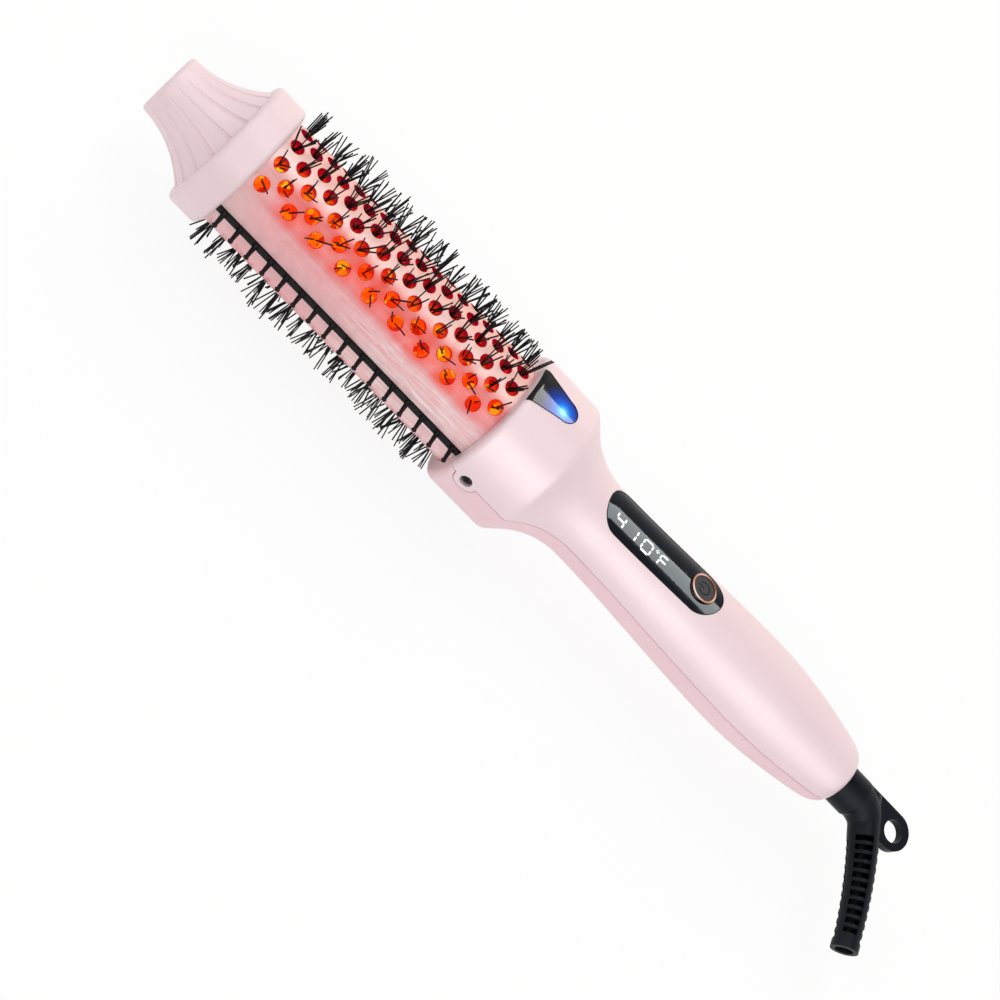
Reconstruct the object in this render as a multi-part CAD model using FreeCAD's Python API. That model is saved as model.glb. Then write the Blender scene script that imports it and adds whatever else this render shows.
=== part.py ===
import FreeCAD, Part
import math
import os

# Heated hair styling brush, in millimetres. The axis of the brush is X, from the flat tip end at the
# origin to the cord end. Z points out of the display side and the combs stand along -Y and +Y.

# Clearances
fit_gap = 0.15            # between fixed pieces that slide together
snug_gap = 0.05           # between pieces pressed on one another
swivel_gap = 0.2          # round the turning cord boot
end_play = 0.3            # along the axis of the turning cord boot
button_gap = 0.15         # round the button
overrun = 1.0             # how far cutters pass the faces they cut

# Tip cap
tip_length = 21.9
tip_end_radius = 9.9
tip_end_round = 1.2
tip_wall = 2.2
flange_length = 11.0
flange_step = 3.0         # above the barrel
flange_face = 3.0         # above the root of the tip
flange_round = 1.8
groove_count = 18
groove_start = 3.0
groove_tip_radius = 0.5
groove_root_radius = 0.8
groove_tip_depth = 0.15
groove_root_depth = 0.7
groove_stations = 5

# Barrel shells and their holes
barrel_radius = 19.0
barrel_wall = 1.2
barrel_exposed = 96.8
tip_overlap = 5.0
collar_overlap = 4.0
hole_radius = 2.35
hole_pitch = 10.56
holes_per_row = 9
hole_rows = 9
row_angle = 11.73         # degrees between rows

# Bristle carriers and tufts
carrier_wall = 2.2
carrier_margin_angle = 8.5
tuft_root_radius = 1.1
tuft_tip_radius = 2.3
tuft_reach = 9.0          # above the barrel
tuft_sides = 6

# Combs
spine_width = 2.2
spine_height = 0.5        # above the barrel
spine_foot_width = 5.0
spine_foot_height = 0.8
tooth_count = 16
tooth_pitch = 6.1
tooth_height = 6.0        # above the spine
tooth_root_radius = 1.2
tooth_ball_radius = 0.85
tooth_sides = 6
tooth_radius_shares = (1.0, 0.62, 0.5)       # of the root radius, up to the ball's neck
tooth_height_shares = (0.0, 0.2, 0.82)       # of the tooth's height
ball_radius_shares = (1.0, 1.0, 0.5)         # of the ball's radius
ball_height_shares = (0.88, 0.94, 1.0)       # of the tooth's height

# Heater, its spreaders and the glow strips
heater_thickness = 3.0
heater_margin = 1.1       # inside the edges of the spreaders
heater_length = 78.0
spreader_bore_radius = 2.2
spreader_bore_inset = 6.3 # from the barrel's bore
sensor_length = 6.0
sensor_height = 3.0
strip_width = 11.0
strip_thickness = 1.0
strip_margin = 4.0
lamp_size = 2.0
lamp_height = 0.9

# Tip plug and barrel socket
plug_flange = 3.0
plug_bore_radius = 5.0
socket_depth = 8.0
lead_bore_radius = 5.0
tie_screw_place = 7.0
tie_screw_radius = 1.2
tie_screw_grip = 9.0
tie_head_radius = 2.2
tie_head_height = 1.6

# Handle shells
collar_step = 5.5         # above the barrel
collar_length = 22.2
collar_round = 2.2
collar_end_round = 3.0
collar_wall = 3.4
collar_lip = 2.0
cone_angle = 41.0         # degrees to the axis
neck_blend_radius = 28.0
neck_radius = 13.7
grip_radius = 16.15
grip_place = 93.0         # fullest place, behind the collar
handle_length = 136.4     # behind the collar
shoulder_radius = 12.15
shoulder_length = 7.2
shoulder_slope_share = 0.19
tail_radius = 7.6
handle_wall = 2.2
tail_wall = 6.0
curve_share = 1 / 3
seam_width = 0.3
seam_depth = 0.4

# Collar screws
collar_screw_place = 6.3  # behind the collar's front
ear_radius = 3.9
ear_gap = 0.25
recess_radius = 2.05
recess_depth = 1.9
screw_head_radius = 1.8
screw_head_height = 1.2
screw_radius = 1.1
screw_reach = 5.5         # into the barrel socket

# Ion window and its lamp, emitter and generator
window_inset = 0.5        # behind the collar's front
window_half_width = 7.0
window_end_radius = 4.0
window_end_place = 11.8   # centre of the round end, behind the collar's front
window_thickness = 1.4
window_ledge = 1.5
ion_lamp_radius = 1.5
ion_lamp_place = 10.2     # behind the collar's front
emitter_radius = 0.5
emitter_length = 4.0
emitter_place = 3.0       # behind the collar's front
generator_length = 24.0
generator_width = 13.0
generator_height = 8.5
generator_place = 33.0    # behind the collar
cradle_height = -8.2
cradle_thickness = 2.0

# Display, button and control board
button_place = 58.8       # behind the collar
lens_half_width = 7.7
lens_straight = 32.0
lens_thickness = 1.2
lens_ledge = 1.4
board_length = 55.0
board_width = 17.0
board_thickness = 1.6
board_height = 3.4        # underside above the axis
board_margin = 10.0       # past the button, towards the tail
rail_height = 1.4
rail_grip = 1.3
post_width = 6.0
post_thickness = 3.0
post_inset = 4.5
display_length = 24.0
display_width = 11.0
display_height = 4.0
ring_radius = 4.7
ring_width = 0.65
ring_rise = 0.45
button_rise = 0.25
button_flange_width = 0.65
button_flange_height = 0.8
button_travel = 0.5
stem_radius = 1.3
switch_size = 6.0
switch_height = 3.4
plunger_radius = 1.6
plunger_rise = 1.0
plunger_sink = 0.4

# Swivel, slip rings and contacts
hub_flange_radius = 8.0
hub_flange_thickness = 4.0
spigot_radius = 4.0
spigot_length = 8.0
spindle_radius = 3.2
slip_ring_radius = 4.4
slip_ring_width = 2.4
slip_ring_gap = 1.2
rib_thickness = 2.2
rib_bore_radius = 5.2
blade_thickness = 0.4
blade_rise = 2.5
terminal_width = 12.0
terminal_height = 2.2
terminal_top = -6.0

# Cord boot and sleeve
boot_radius = 6.8
boot_end_radius = 5.1
boot_vertex = 13.9        # past the tail
boot_angle = 59.7
boot_bend_radius = 9.0
corner_step = 0.15        # of the elbow's full corner below the sweep
boot_plain_length = 3.4
boot_stations = 5
boot_rest_angle = 12.0    # turn of the swivel below the seam plane
loop_reach = 11.75        # past the bend
loop_rise = 0.7           # off the axis, away from the bend
loop_hole_radius = 3.7
loop_rim = 2.5
loop_thickness = 3.2
sleeve_sweep = 14.0       # degrees
sleeve_end_radius = 4.2
sleeve_bore_radius = 3.0
sleeve_stations = 5
window_count = 11
window_pitch = 2.92
window_width = 5.6
window_end_width = 4.3   # of the last window
window_height = 1.8
window_turn = 33.0        # degrees of the windows round the sleeve
notch_share = 0.55        # of the sleeve's wall
notch_width = 3.6
sleeve_cuff_length = 2.6
sleeve_cuff_radius = 4.4
cord_bore_radius = 2.9

# Leads
lead_radius = 0.8
lead_spread = 4.6         # at the board
terminal_spread = 2.5     # at the terminals
lead_overlap = 8.0        # length soldered along the board
lead_run = 16.0           # straight length at the terminals

# Places along the axis and sizes that follow from others
flange_x = tip_length
flange_end_x = flange_x + flange_length
barrel_x = flange_end_x - tip_overlap
collar_x = flange_end_x + barrel_exposed
barrel_end_x = collar_x + collar_overlap
socket_end_x = barrel_end_x + socket_depth
collar_end_x = collar_x + collar_length
tail_x = collar_end_x + handle_length
tail_wall_x = tail_x - tail_wall
button_x = collar_end_x + button_place
screw_x = collar_x + collar_screw_place
barrel_middle_x = (flange_end_x + collar_x) / 2
hub_x = tail_wall_x - end_play - hub_flange_thickness
rib_x = hub_x - end_play - rib_thickness
spindle_length = 2 * slip_ring_width + 3 * slip_ring_gap + end_play
spindle_x = rib_x - spindle_length
bend_x = tail_x + boot_vertex
barrel_bore = barrel_radius - barrel_wall
flange_radius = barrel_radius + flange_step
tip_root_radius = flange_radius - flange_face
collar_radius = barrel_radius + collar_step
carrier_half_angle = (hole_rows - 1) / 2 * row_angle + carrier_margin_angle
carrier_radius = barrel_bore - fit_gap
carrier_bore = carrier_radius - carrier_wall
spreader_half = carrier_bore * math.cos(math.radians(carrier_half_angle)) - fit_gap
heater_half = spreader_half - heater_margin
board_top = board_height + board_thickness
board_end_x = button_x + board_margin
board_x = board_end_x - board_length

X = FreeCAD.Vector(1, 0, 0)
Y = FreeCAD.Vector(0, 1, 0)
Z = FreeCAD.Vector(0, 0, 1)
ORIGIN = FreeCAD.Vector(0, 0, 0)


def at(x, y, z):
    return FreeCAD.Vector(x, y, z)


# Basic solids
def rod(x0, x1, radius, y=0, z=0):
    """A round bar along X."""
    return Part.makeCylinder(radius, x1 - x0, at(x0, y, z), X)


def tube(x0, x1, outer, inner):
    return rod(x0, x1, outer).cut(rod(x0 - overrun, x1 + overrun, inner))


def block(x0, x1, y0, y1, z0, z1):
    return Part.makeBox(x1 - x0, y1 - y0, z1 - z0, at(x0, y0, z0))


def turned(profile):
    """A solid of revolution about X from edges or from (x, radius) corners."""
    if isinstance(profile[0], tuple):
        corners = [at(x, 0, r) for x, r in profile]
        wire = Part.makePolygon(corners + corners[:1])
    else:
        wire = Part.Wire(profile)
    return Part.Face(wire).revolve(ORIGIN, X)


def round_x(shape, angle):
    """A copy turned about X, so that Z leans towards -Y for a positive angle."""
    copy = shape.copy()
    copy.rotate(ORIGIN, X, angle)
    return copy


def ring_of(sides, radius, centre, across, along):
    """A closed polygon of equal sides round a centre."""
    turns = [math.radians((k + 0.5) * 360 / sides) for k in range(sides + 1)]
    return Part.makePolygon([centre + across * (radius * math.sin(t)) + along * (radius * math.cos(t))
                             for t in turns])


def faceted_pin(centre, axis, radii, heights, sides):
    """A many-sided pin along an axis, with a radius at each height."""
    across = X if abs(axis.dot(X)) < abs(axis.dot(Y)) + abs(axis.dot(Z)) else Y
    along = axis.cross(across)
    rings = [ring_of(sides, r, centre + axis * h, across, along) for r, h in zip(radii, heights)]
    return Part.makeLoft(rings, True, True)


def round_loft(stations):
    """A smooth round body through (centre, direction, radius) stations."""
    rings = [Part.Wire(Part.makeCircle(r, centre, direction)) for centre, direction, r in stations]
    return Part.makeLoft(rings, True, False)


def prism(outline, z0, z1):
    """A plan outline in X and Y raised between two heights."""
    face = Part.Face(outline)
    face.translate(at(0, 0, z0))
    return face.extrude(at(0, 0, z1 - z0))


# Tip cap
def tip_arc_radius():
    rise = tip_root_radius - tip_end_radius
    return (tip_length ** 2 + rise ** 2) / (2 * rise)


def tip_point(turn, lift):
    """A point above the hollow flank of the tip and the flank's direction there."""
    radius = tip_arc_radius() - lift
    place = at(radius * math.sin(turn), 0, tip_end_radius + tip_arc_radius() - radius * math.cos(turn))
    return place, at(math.cos(turn), 0, math.sin(turn))


def tip_flank(inset):
    """The hollow flank from the end to the root, moved in by an inset."""
    last = math.asin(tip_length / tip_arc_radius())
    points = [tip_point(t, 0)[0] - at(0, 0, inset) for t in (0, last / 2, last)]
    return Part.Arc(*points).toShape()


def tip_body(inset):
    flank = tip_flank(inset)
    start, end = flank.Vertexes[0].Point, flank.Vertexes[1].Point
    feet = [at(end.x, 0, 0), at(start.x, 0, 0)]
    return turned([flank, Part.makeLine(end, feet[0]), Part.makeLine(feet[0], feet[1]),
                   Part.makeLine(feet[1], start)])


def tip_groove():
    """A cutter that deepens and widens from the tip end to the flange."""
    first = math.asin(groove_start / tip_arc_radius())
    last = math.asin((tip_length + overrun) / tip_arc_radius())
    stations = []
    for k in range(groove_stations):
        share = k / (groove_stations - 1)
        radius = groove_tip_radius + (groove_root_radius - groove_tip_radius) * share
        depth = groove_tip_depth + (groove_root_depth - groove_tip_depth) * share
        place, way = tip_point(first + (last - first) * share, radius - depth)
        stations.append((place, way, radius))
    return round_loft(stations)


def outer_edges(solid, x, radius):
    """The round edges of a turned solid at one place and radius."""
    found = []
    for edge in solid.Edges:
        box = edge.BoundBox
        misses = (box.XMin - x, box.XMax - x, box.ZMax - radius)
        if max(abs(miss) for miss in misses) < snug_gap:
            found.append(edge)
    return found


def tip_cap():
    cone = tip_body(0)
    cone = cone.makeFillet(tip_end_round, outer_edges(cone, 0, tip_end_radius))
    groove = tip_groove()
    cone = cone.cut([round_x(groove, k * 360 / groove_count) for k in range(groove_count)])
    flange = rod(flange_x, flange_end_x, flange_radius)
    ends = outer_edges(flange, flange_x, flange_radius) + outer_edges(flange, flange_end_x, flange_radius)
    cap = cone.fuse(flange.makeFillet(flange_round, ends))
    cavity = tip_body(tip_wall).common(rod(tip_wall, tip_length, flange_radius))
    seat = rod(barrel_x - plug_flange, flange_end_x + overrun, barrel_radius + fit_gap)
    link = rod(flange_x - snug_gap, barrel_x - plug_flange + overrun, tip_root_radius - tip_wall)
    return cap.cut([cavity, link, seat])


# Barrel, carriers and tufts
def hole_places():
    """Row angle and axial place of each hole, with every other row moved by half a pitch."""
    first = barrel_middle_x - (holes_per_row - 0.5) * hole_pitch / 2
    places = []
    for row in range(hole_rows):
        angle = (row - (hole_rows - 1) / 2) * row_angle
        for k in range(holes_per_row):
            places.append((angle, first + (k + (row % 2) / 2) * hole_pitch))
    return places


def barrel_shell():
    """The front half shell, cut back at both sides for the comb spines."""
    side = spine_width / 2 + fit_gap
    shell = tube(barrel_x, barrel_end_x, barrel_radius, barrel_bore)
    shell = shell.common(block(barrel_x, barrel_end_x, -barrel_radius, barrel_radius, side, barrel_radius))
    drills = []
    for angle, x in hole_places():
        drill = Part.makeCylinder(hole_radius, barrel_radius, at(x, 0, barrel_radius / 2), Z)
        drills.append(round_x(drill, angle))
    return shell.cut(drills)


def bristle_carrier():
    """A curved plate behind the holes of one shell."""
    x0, x1 = flange_end_x + fit_gap, collar_x - fit_gap
    section = Part.makeCylinder(carrier_radius, x1 - x0, at(x0, 0, 0), X, 2 * carrier_half_angle)
    section.rotate(ORIGIN, X, 180 - carrier_half_angle)
    return section.cut(rod(x0 - overrun, x1 + overrun, carrier_bore))


def bristle_tufts():
    """One flared bundle of bristles per hole, standing on the carrier."""
    heights = (carrier_radius, barrel_radius + tuft_reach)
    tufts = []
    for angle, x in hole_places():
        tuft = faceted_pin(at(x, 0, 0), Z, (tuft_root_radius, tuft_tip_radius), heights, tuft_sides)
        tufts.append(round_x(tuft, angle))
    return Part.makeCompound(tufts)


def comb():
    """The comb on the +Y side: foot inside the shells, spine in their gap, and the teeth."""
    foot_top = math.sqrt(barrel_bore ** 2 - (spine_foot_width / 2) ** 2) - fit_gap
    spine_top = barrel_radius + spine_height
    foot = block(barrel_x, barrel_end_x, foot_top - spine_foot_height, foot_top,
                 -spine_foot_width / 2, spine_foot_width / 2)
    spine = block(barrel_x, barrel_end_x, foot_top - spine_foot_height / 2, barrel_radius,
                  -spine_width / 2, spine_width / 2)
    crest = block(flange_end_x + fit_gap, collar_x - fit_gap, barrel_radius - spine_height, spine_top,
                  -spine_width / 2, spine_width / 2)
    radii = [tooth_root_radius * s for s in tooth_radius_shares]
    radii += [tooth_ball_radius * s for s in ball_radius_shares]
    heights = [spine_top - spine_height / 2 + (tooth_height + spine_height / 2) * s
               for s in tooth_height_shares + ball_height_shares]
    first = barrel_middle_x - (tooth_count - 1) * tooth_pitch / 2
    teeth = [faceted_pin(at(first + k * tooth_pitch, 0, 0), Y, radii, heights, tooth_sides)
             for k in range(tooth_count)]
    return foot.fuse([spine, crest] + teeth).removeSplitter()


# Heater group inside the barrel
def heat_spreader():
    """An aluminium block on the +Y side, round against the shells and flat against the heater."""
    radius = barrel_bore - fit_gap
    body = rod(flange_end_x, collar_x, radius)
    body = body.common(block(flange_end_x, collar_x, heater_thickness / 2, radius,
                             -spreader_half, spreader_half))
    foot_low = math.sqrt(barrel_bore ** 2 - (spine_foot_width / 2) ** 2) - fit_gap - spine_foot_height
    channel = block(flange_end_x - overrun, collar_x + overrun, foot_low - fit_gap, radius + overrun,
                    -spine_foot_width / 2 - fit_gap, spine_foot_width / 2 + fit_gap)
    bore_y = barrel_bore - spreader_bore_inset
    bores = [rod(flange_end_x - overrun, collar_x + overrun, spreader_bore_radius, bore_y, z)
             for z in (-spreader_half / 2, spreader_half / 2)]
    screw_bores = [rod(x, x + tie_screw_grip + 2 * overrun, tie_screw_radius + snug_gap, tie_screw_place)
                   for x in (flange_end_x - overrun, collar_x - tie_screw_grip - overrun)]
    return body.cut([channel] + bores + screw_bores)


def ceramic_heater():
    half = heater_length / 2
    return block(barrel_middle_x - half, barrel_middle_x + half,
                 -heater_thickness / 2, heater_thickness / 2, -heater_half, heater_half)


def sensor(side):
    """A small round sensor clamped between the spreaders ahead of the heater."""
    end_x = barrel_middle_x - heater_length / 2
    return rod(end_x - sensor_length, end_x, heater_thickness / 2 - snug_gap, 0, side * sensor_height)


def glow_strip():
    """A lamp strip that lies flat on both spreaders, behind the front carrier."""
    low = spreader_half
    top = low + strip_thickness
    x0, x1 = flange_end_x + strip_margin, collar_x - strip_margin
    strip = block(x0, x1, -strip_width / 2, strip_width / 2, low, top)
    lamps = []
    for k in range(holes_per_row):
        x = barrel_middle_x + (k - (holes_per_row - 1) / 2) * hole_pitch
        lamps.append(block(x - lamp_size / 2, x + lamp_size / 2, -lamp_size / 2, lamp_size / 2, top,
                           top + lamp_height))
    return strip.fuse(lamps)


def tip_plug():
    """The disc that closes the tip end of the barrel and sits in the tip cap."""
    spigot = barrel_bore - fit_gap
    body = turned([(barrel_x - plug_flange, plug_bore_radius), (barrel_x - plug_flange, barrel_radius),
                   (barrel_x, barrel_radius), (barrel_x, spigot), (flange_end_x, spigot),
                   (flange_end_x, plug_bore_radius)])
    return body.cut(tie_bores(barrel_x - plug_flange, flange_end_x) + foot_slots(barrel_x, flange_end_x))


def barrel_socket():
    """The insulating ring in the collar that holds the barrel's end."""
    spigot = barrel_bore - fit_gap
    mouth = barrel_radius + fit_gap
    outer = socket_radius()
    lip_x = collar_x + collar_lip
    body = turned([(collar_x, lead_bore_radius), (collar_x, spigot), (barrel_end_x, spigot),
                   (barrel_end_x, mouth), (lip_x, mouth), (lip_x, outer), (socket_end_x, outer),
                   (socket_end_x, lead_bore_radius)])
    depth = screw_reach + overrun
    drills = [Part.makeCylinder(screw_radius + snug_gap, depth,
                                at(screw_x, side * (outer - screw_reach), 0), Y * side)
              for side in (-1, 1)]
    return body.cut(tie_bores(collar_x, socket_end_x) + foot_slots(collar_x, barrel_end_x) + drills)


def tie_bores(x0, x1):
    return [rod(x0 - overrun, x1 + overrun, tie_screw_radius + snug_gap, side * tie_screw_place)
            for side in (-1, 1)]


def foot_slots(x0, x1):
    """Slots at both sides that let the comb feet pass."""
    foot_low = math.sqrt(barrel_bore ** 2 - (spine_foot_width / 2) ** 2) - fit_gap - spine_foot_height
    half = spine_foot_width / 2 + fit_gap
    slot = block(x0, x1, foot_low - fit_gap, barrel_radius, -half, half)
    return [slot, round_x(slot, 180)]


def tie_screws():
    """Four screws through the plug and the socket into the ends of the spreaders."""
    screws = []
    for side in (-1, 1):
        y = side * tie_screw_place
        face = barrel_x - plug_flange
        head = rod(face - tie_head_height, face, tie_head_radius, y)
        screws.append(head.fuse(rod(face - tie_head_height, flange_end_x + tie_screw_grip,
                                    tie_screw_radius, y)))
        head = rod(socket_end_x, socket_end_x + tie_head_height, tie_head_radius, y)
        screws.append(head.fuse(rod(collar_x - tie_screw_grip, socket_end_x + tie_head_height,
                                    tie_screw_radius, y)))
    return Part.makeCompound(screws)


# Handle outline
def handle_outline(inset):
    """The outline behind the collar, moved towards the axis by an inset."""
    slope = math.radians(cone_angle)
    blend_low = neck_radius + neck_blend_radius * (1 - math.cos(slope))
    blend_x = collar_end_x + (collar_radius - blend_low) / math.tan(slope)
    neck_x = blend_x + neck_blend_radius * math.sin(slope)
    half = slope / 2
    middle = at(neck_x - neck_blend_radius * math.sin(half), 0,
                neck_radius + neck_blend_radius * (1 - math.cos(half)) - inset)
    start = at(collar_end_x, 0, collar_radius - inset)
    blend = at(blend_x, 0, blend_low - inset)
    neck = at(neck_x, 0, neck_radius - inset)
    grip = at(collar_end_x + grip_place, 0, grip_radius - inset)
    shoulder = at(tail_x - shoulder_length, 0, shoulder_radius - inset)
    corner = at(tail_x, 0, shoulder_radius - shoulder_length * shoulder_slope_share - inset)
    end = at(tail_x, 0, tail_radius - inset)
    swell = X * ((grip.x - neck.x) * curve_share)
    fall = X * ((shoulder.x - grip.x) * curve_share)
    lean = fall - Z * (fall.x * shoulder_slope_share)
    edges = [Part.makeLine(start, blend), Part.Arc(blend, middle, neck).toShape()]
    for poles in ((neck, neck + swell, grip - swell, grip), (grip, grip + fall, shoulder - lean, shoulder),
                  (shoulder, corner, end)):
        curve = Part.BezierCurve()
        curve.setPoles(list(poles))
        edges.append(curve.toShape())
    return edges


def housing_body(inset):
    """The solid form of collar and handle, moved towards the axis by an inset."""
    front = at(collar_x, 0, collar_radius - inset)
    behind = at(collar_end_x, 0, collar_radius - inset)
    end = at(tail_x, 0, tail_radius - inset)
    feet = [at(tail_x, 0, 0), at(collar_x, 0, 0)]
    edges = [Part.makeLine(front, behind)] + handle_outline(inset)
    edges += [Part.makeLine(end, feet[0]), Part.makeLine(feet[0], feet[1]), Part.makeLine(feet[1], front)]
    body = turned(edges)
    body = body.makeFillet(collar_round, outer_edges(body, collar_x, collar_radius - inset))
    return body.makeFillet(collar_end_round, outer_edges(body, collar_end_x, collar_radius - inset))


def housing_cavity():
    """The room inside both shells, less the rib, rails, cradles and seat that they carry."""
    collar_room = collar_radius - collar_wall
    reach = collar_end_x + (collar_radius - handle_wall - collar_room) / math.tan(math.radians(cone_angle))
    room = rod(collar_x + collar_lip, reach, collar_room)
    behind = at(collar_end_x, 0, collar_radius - handle_wall)
    end = at(tail_x, 0, tail_radius - handle_wall)
    feet = [at(tail_x, 0, 0), at(collar_end_x, 0, 0)]
    edges = handle_outline(handle_wall)
    edges += [Part.makeLine(end, feet[0]), Part.makeLine(feet[0], feet[1]), Part.makeLine(feet[1], behind)]
    room = room.fuse(turned(edges).common(rod(collar_end_x, tail_wall_x, collar_radius)))
    wide = grip_radius
    rib = tube(rib_x, rib_x + rib_thickness, wide, rib_bore_radius)
    inner = board_width / 2 - rail_grip
    rails = [block(board_x, board_end_x, inner, wide, board_top, board_top + rail_height),
             block(board_x, board_end_x, -wide, -inner, board_top, board_top + rail_height)]
    generator_x = collar_end_x + generator_place
    cradles = [block(x - cradle_thickness / 2, x + cradle_thickness / 2,
                     -generator_width / 2, generator_width / 2, -wide, cradle_height)
               for x in (generator_x + 2 * cradle_thickness,
                         generator_x + generator_length - 2 * cradle_thickness)]
    under = terminal_top - terminal_height
    seat = block(spindle_x, rib_x, -terminal_width / 4, terminal_width / 4, -wide, under)
    return room.cut([rib, seat] + rails + cradles)


def ears(gap):
    """Round ears of the front shell that carry the screw recesses below the seam."""
    inner = collar_radius - collar_wall - overrun
    length = collar_wall + 2 * overrun
    return [Part.makeCylinder(ear_radius + gap, length, at(screw_x, side * inner, 0), Y * side)
            for side in (-1, 1)]


def upper_half(gap):
    room = block(collar_x - overrun, tail_x + overrun, -collar_radius - overrun, collar_radius + overrun,
                 0, collar_radius + overrun)
    return room.fuse(ears(gap))


def seam_groove():
    """The fine line that both shells leave along the seam, stopped at the ears."""
    skin = housing_body(0).cut(housing_body(seam_depth))
    line = skin.common(block(collar_x - overrun, tail_x + overrun, -collar_radius, collar_radius,
                             -seam_width / 2, seam_width / 2))
    return line.cut(ears(0))


def hollow_housing():
    mouth = rod(collar_x - overrun, collar_x + collar_lip + overrun, barrel_radius + 2 * fit_gap)
    tail_bore = rod(tail_wall_x - overrun, tail_x + overrun, boot_radius + swivel_gap)
    return housing_body(0).cut([housing_cavity(), mouth, tail_bore])


def front_shell():
    shell = hollow_housing().common(upper_half(0)).cut([seam_groove()] + screw_recesses())
    pockets = [skin_piece(window_outline(fit_gap), window_thickness),
               skin_piece(lens_outline(fit_gap), lens_thickness)]
    openings = [prism(window_outline(-window_ledge), collar_radius - collar_wall - overrun, collar_radius),
                prism(display_outline(), board_top, grip_radius),
                Part.makeCylinder(ring_radius - ring_width, grip_radius, at(button_x, 0, board_top), Z)]
    return shell.cut(pockets + openings)


def board_posts():
    """Posts of the back shell that hold the board against the rails of the front shell."""
    posts = [block(x - post_thickness / 2, x + post_thickness / 2, -post_width / 2, post_width / 2,
                   -grip_radius, board_height) for x in (board_x + post_inset, board_end_x - post_inset)]
    return [post.common(housing_body(handle_wall / 2)) for post in posts]


def back_shell():
    return hollow_housing().cut([upper_half(ear_gap), seam_groove()]).fuse(board_posts())


# Collar screws
def screw_recesses():
    depth = collar_wall + overrun
    cuts = []
    for side in (-1, 1):
        way = Y * side
        cuts.append(Part.makeCylinder(recess_radius, depth,
                                      at(screw_x, side * (collar_radius - recess_depth), 0), way))
        cuts.append(Part.makeCylinder(screw_radius + fit_gap, depth,
                                      at(screw_x, side * (collar_radius - depth), 0), way))
    return cuts


def collar_screws():
    seat = collar_radius - recess_depth
    inner = socket_radius() - screw_reach
    screws = []
    for side in (-1, 1):
        head = Part.makeCylinder(screw_head_radius, screw_head_height, at(screw_x, side * seat, 0),
                                 Y * side)
        shank = Part.makeCylinder(screw_radius, seat - inner + screw_head_height / 2,
                                  at(screw_x, side * inner, 0), Y * side)
        screws.append(head.fuse(shank))
    return Part.makeCompound(screws)


# Ion window, display lens and what lies behind them
def skin_piece(outline, thickness):
    """A piece of the housing's own skin inside a plan outline."""
    column = prism(outline, 0, collar_radius + overrun)
    return housing_body(0).common(column).cut(housing_body(thickness))


def window_outline(gap):
    """A tongue: straight at the collar's front, narrowing to a round end, grown by a gap."""
    x0 = collar_x + window_inset - gap
    centre = collar_x + window_end_place
    radius = window_end_radius + gap
    half = window_half_width + gap
    left, right = at(x0, -half, 0), at(x0, half, 0)
    low, high, tip = at(centre, -radius, 0), at(centre, radius, 0), at(centre + radius, 0, 0)
    return Part.Wire([Part.makeLine(left, low), Part.Arc(low, tip, high).toShape(),
                      Part.makeLine(high, right), Part.makeLine(right, left)])


def capsule(x0, x1, radius):
    """A plan outline with round ends about two centres."""
    low, high = [at(x0, -radius, 0), at(x1, -radius, 0)], [at(x1, radius, 0), at(x0, radius, 0)]
    return Part.Wire([Part.makeLine(*low), Part.Arc(low[1], at(x1 + radius, 0, 0), high[0]).toShape(),
                      Part.makeLine(*high), Part.Arc(high[1], at(x0 - radius, 0, 0), low[0]).toShape()])


def lens_outline(gap):
    return capsule(button_x - lens_straight, button_x, lens_half_width + gap)


def display_outline():
    """The opening under the lens, round the display and clear of the button's ring."""
    radius = lens_half_width - lens_ledge
    return capsule(button_x - lens_straight, button_x - ring_radius - lens_ledge - radius, radius)


def ion_window():
    return skin_piece(window_outline(0), window_thickness)


def socket_radius():
    return collar_radius - collar_wall - fit_gap


def ion_lamp():
    """The indicator lamp under the round end of the window, on the barrel socket."""
    height = collar_radius - window_thickness - fit_gap - socket_radius()
    return Part.makeCylinder(ion_lamp_radius, height, at(collar_x + ion_lamp_place, 0, socket_radius()), Z)


def ion_emitter():
    """The emitter pin under the window, along the top of the barrel socket."""
    x0 = collar_x + emitter_place
    return rod(x0, x0 + emitter_length, emitter_radius, 0, socket_radius() + emitter_radius)


def display_lens():
    button_bore = Part.makeCylinder(ring_radius + snug_gap, collar_radius, at(button_x, 0, 0), Z)
    return skin_piece(lens_outline(0), lens_thickness).cut(button_bore)


def surface_height(x):
    """Height of the handle's surface over the axis at one place."""
    spot = housing_body(0).common(Part.makeLine(at(x, 0, 0), at(x, 0, 2 * collar_radius)))
    return spot.BoundBox.ZMax


def button_ring():
    top = surface_height(button_x) + ring_rise
    ring = Part.makeCylinder(ring_radius, top, at(button_x, 0, 0), Z)
    ring = ring.cut(Part.makeCylinder(ring_radius - ring_width, top + overrun, at(button_x, 0, 0), Z))
    return ring.cut(housing_body(lens_thickness))


def button_radius():
    return ring_radius - ring_width - button_gap


def flange_top():
    """Height of the button's flange, below the shell at the flange's edge."""
    inner = surface_height(button_x) - handle_wall
    edge = button_radius() + button_flange_width
    return math.sqrt(inner ** 2 - edge ** 2) - button_gap


def power_button():
    top = surface_height(button_x) + button_rise
    low = flange_top() - button_flange_height
    foot = board_top + switch_height + plunger_rise
    pieces = [Part.makeCylinder(button_radius(), top - low, at(button_x, 0, low), Z),
              Part.makeCylinder(button_radius() + button_flange_width, button_flange_height,
                                at(button_x, 0, low), Z),
              Part.makeCylinder(stem_radius, top - foot, at(button_x, 0, foot), Z)]
    return pieces[0].fuse(pieces[1:]).removeSplitter()


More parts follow.
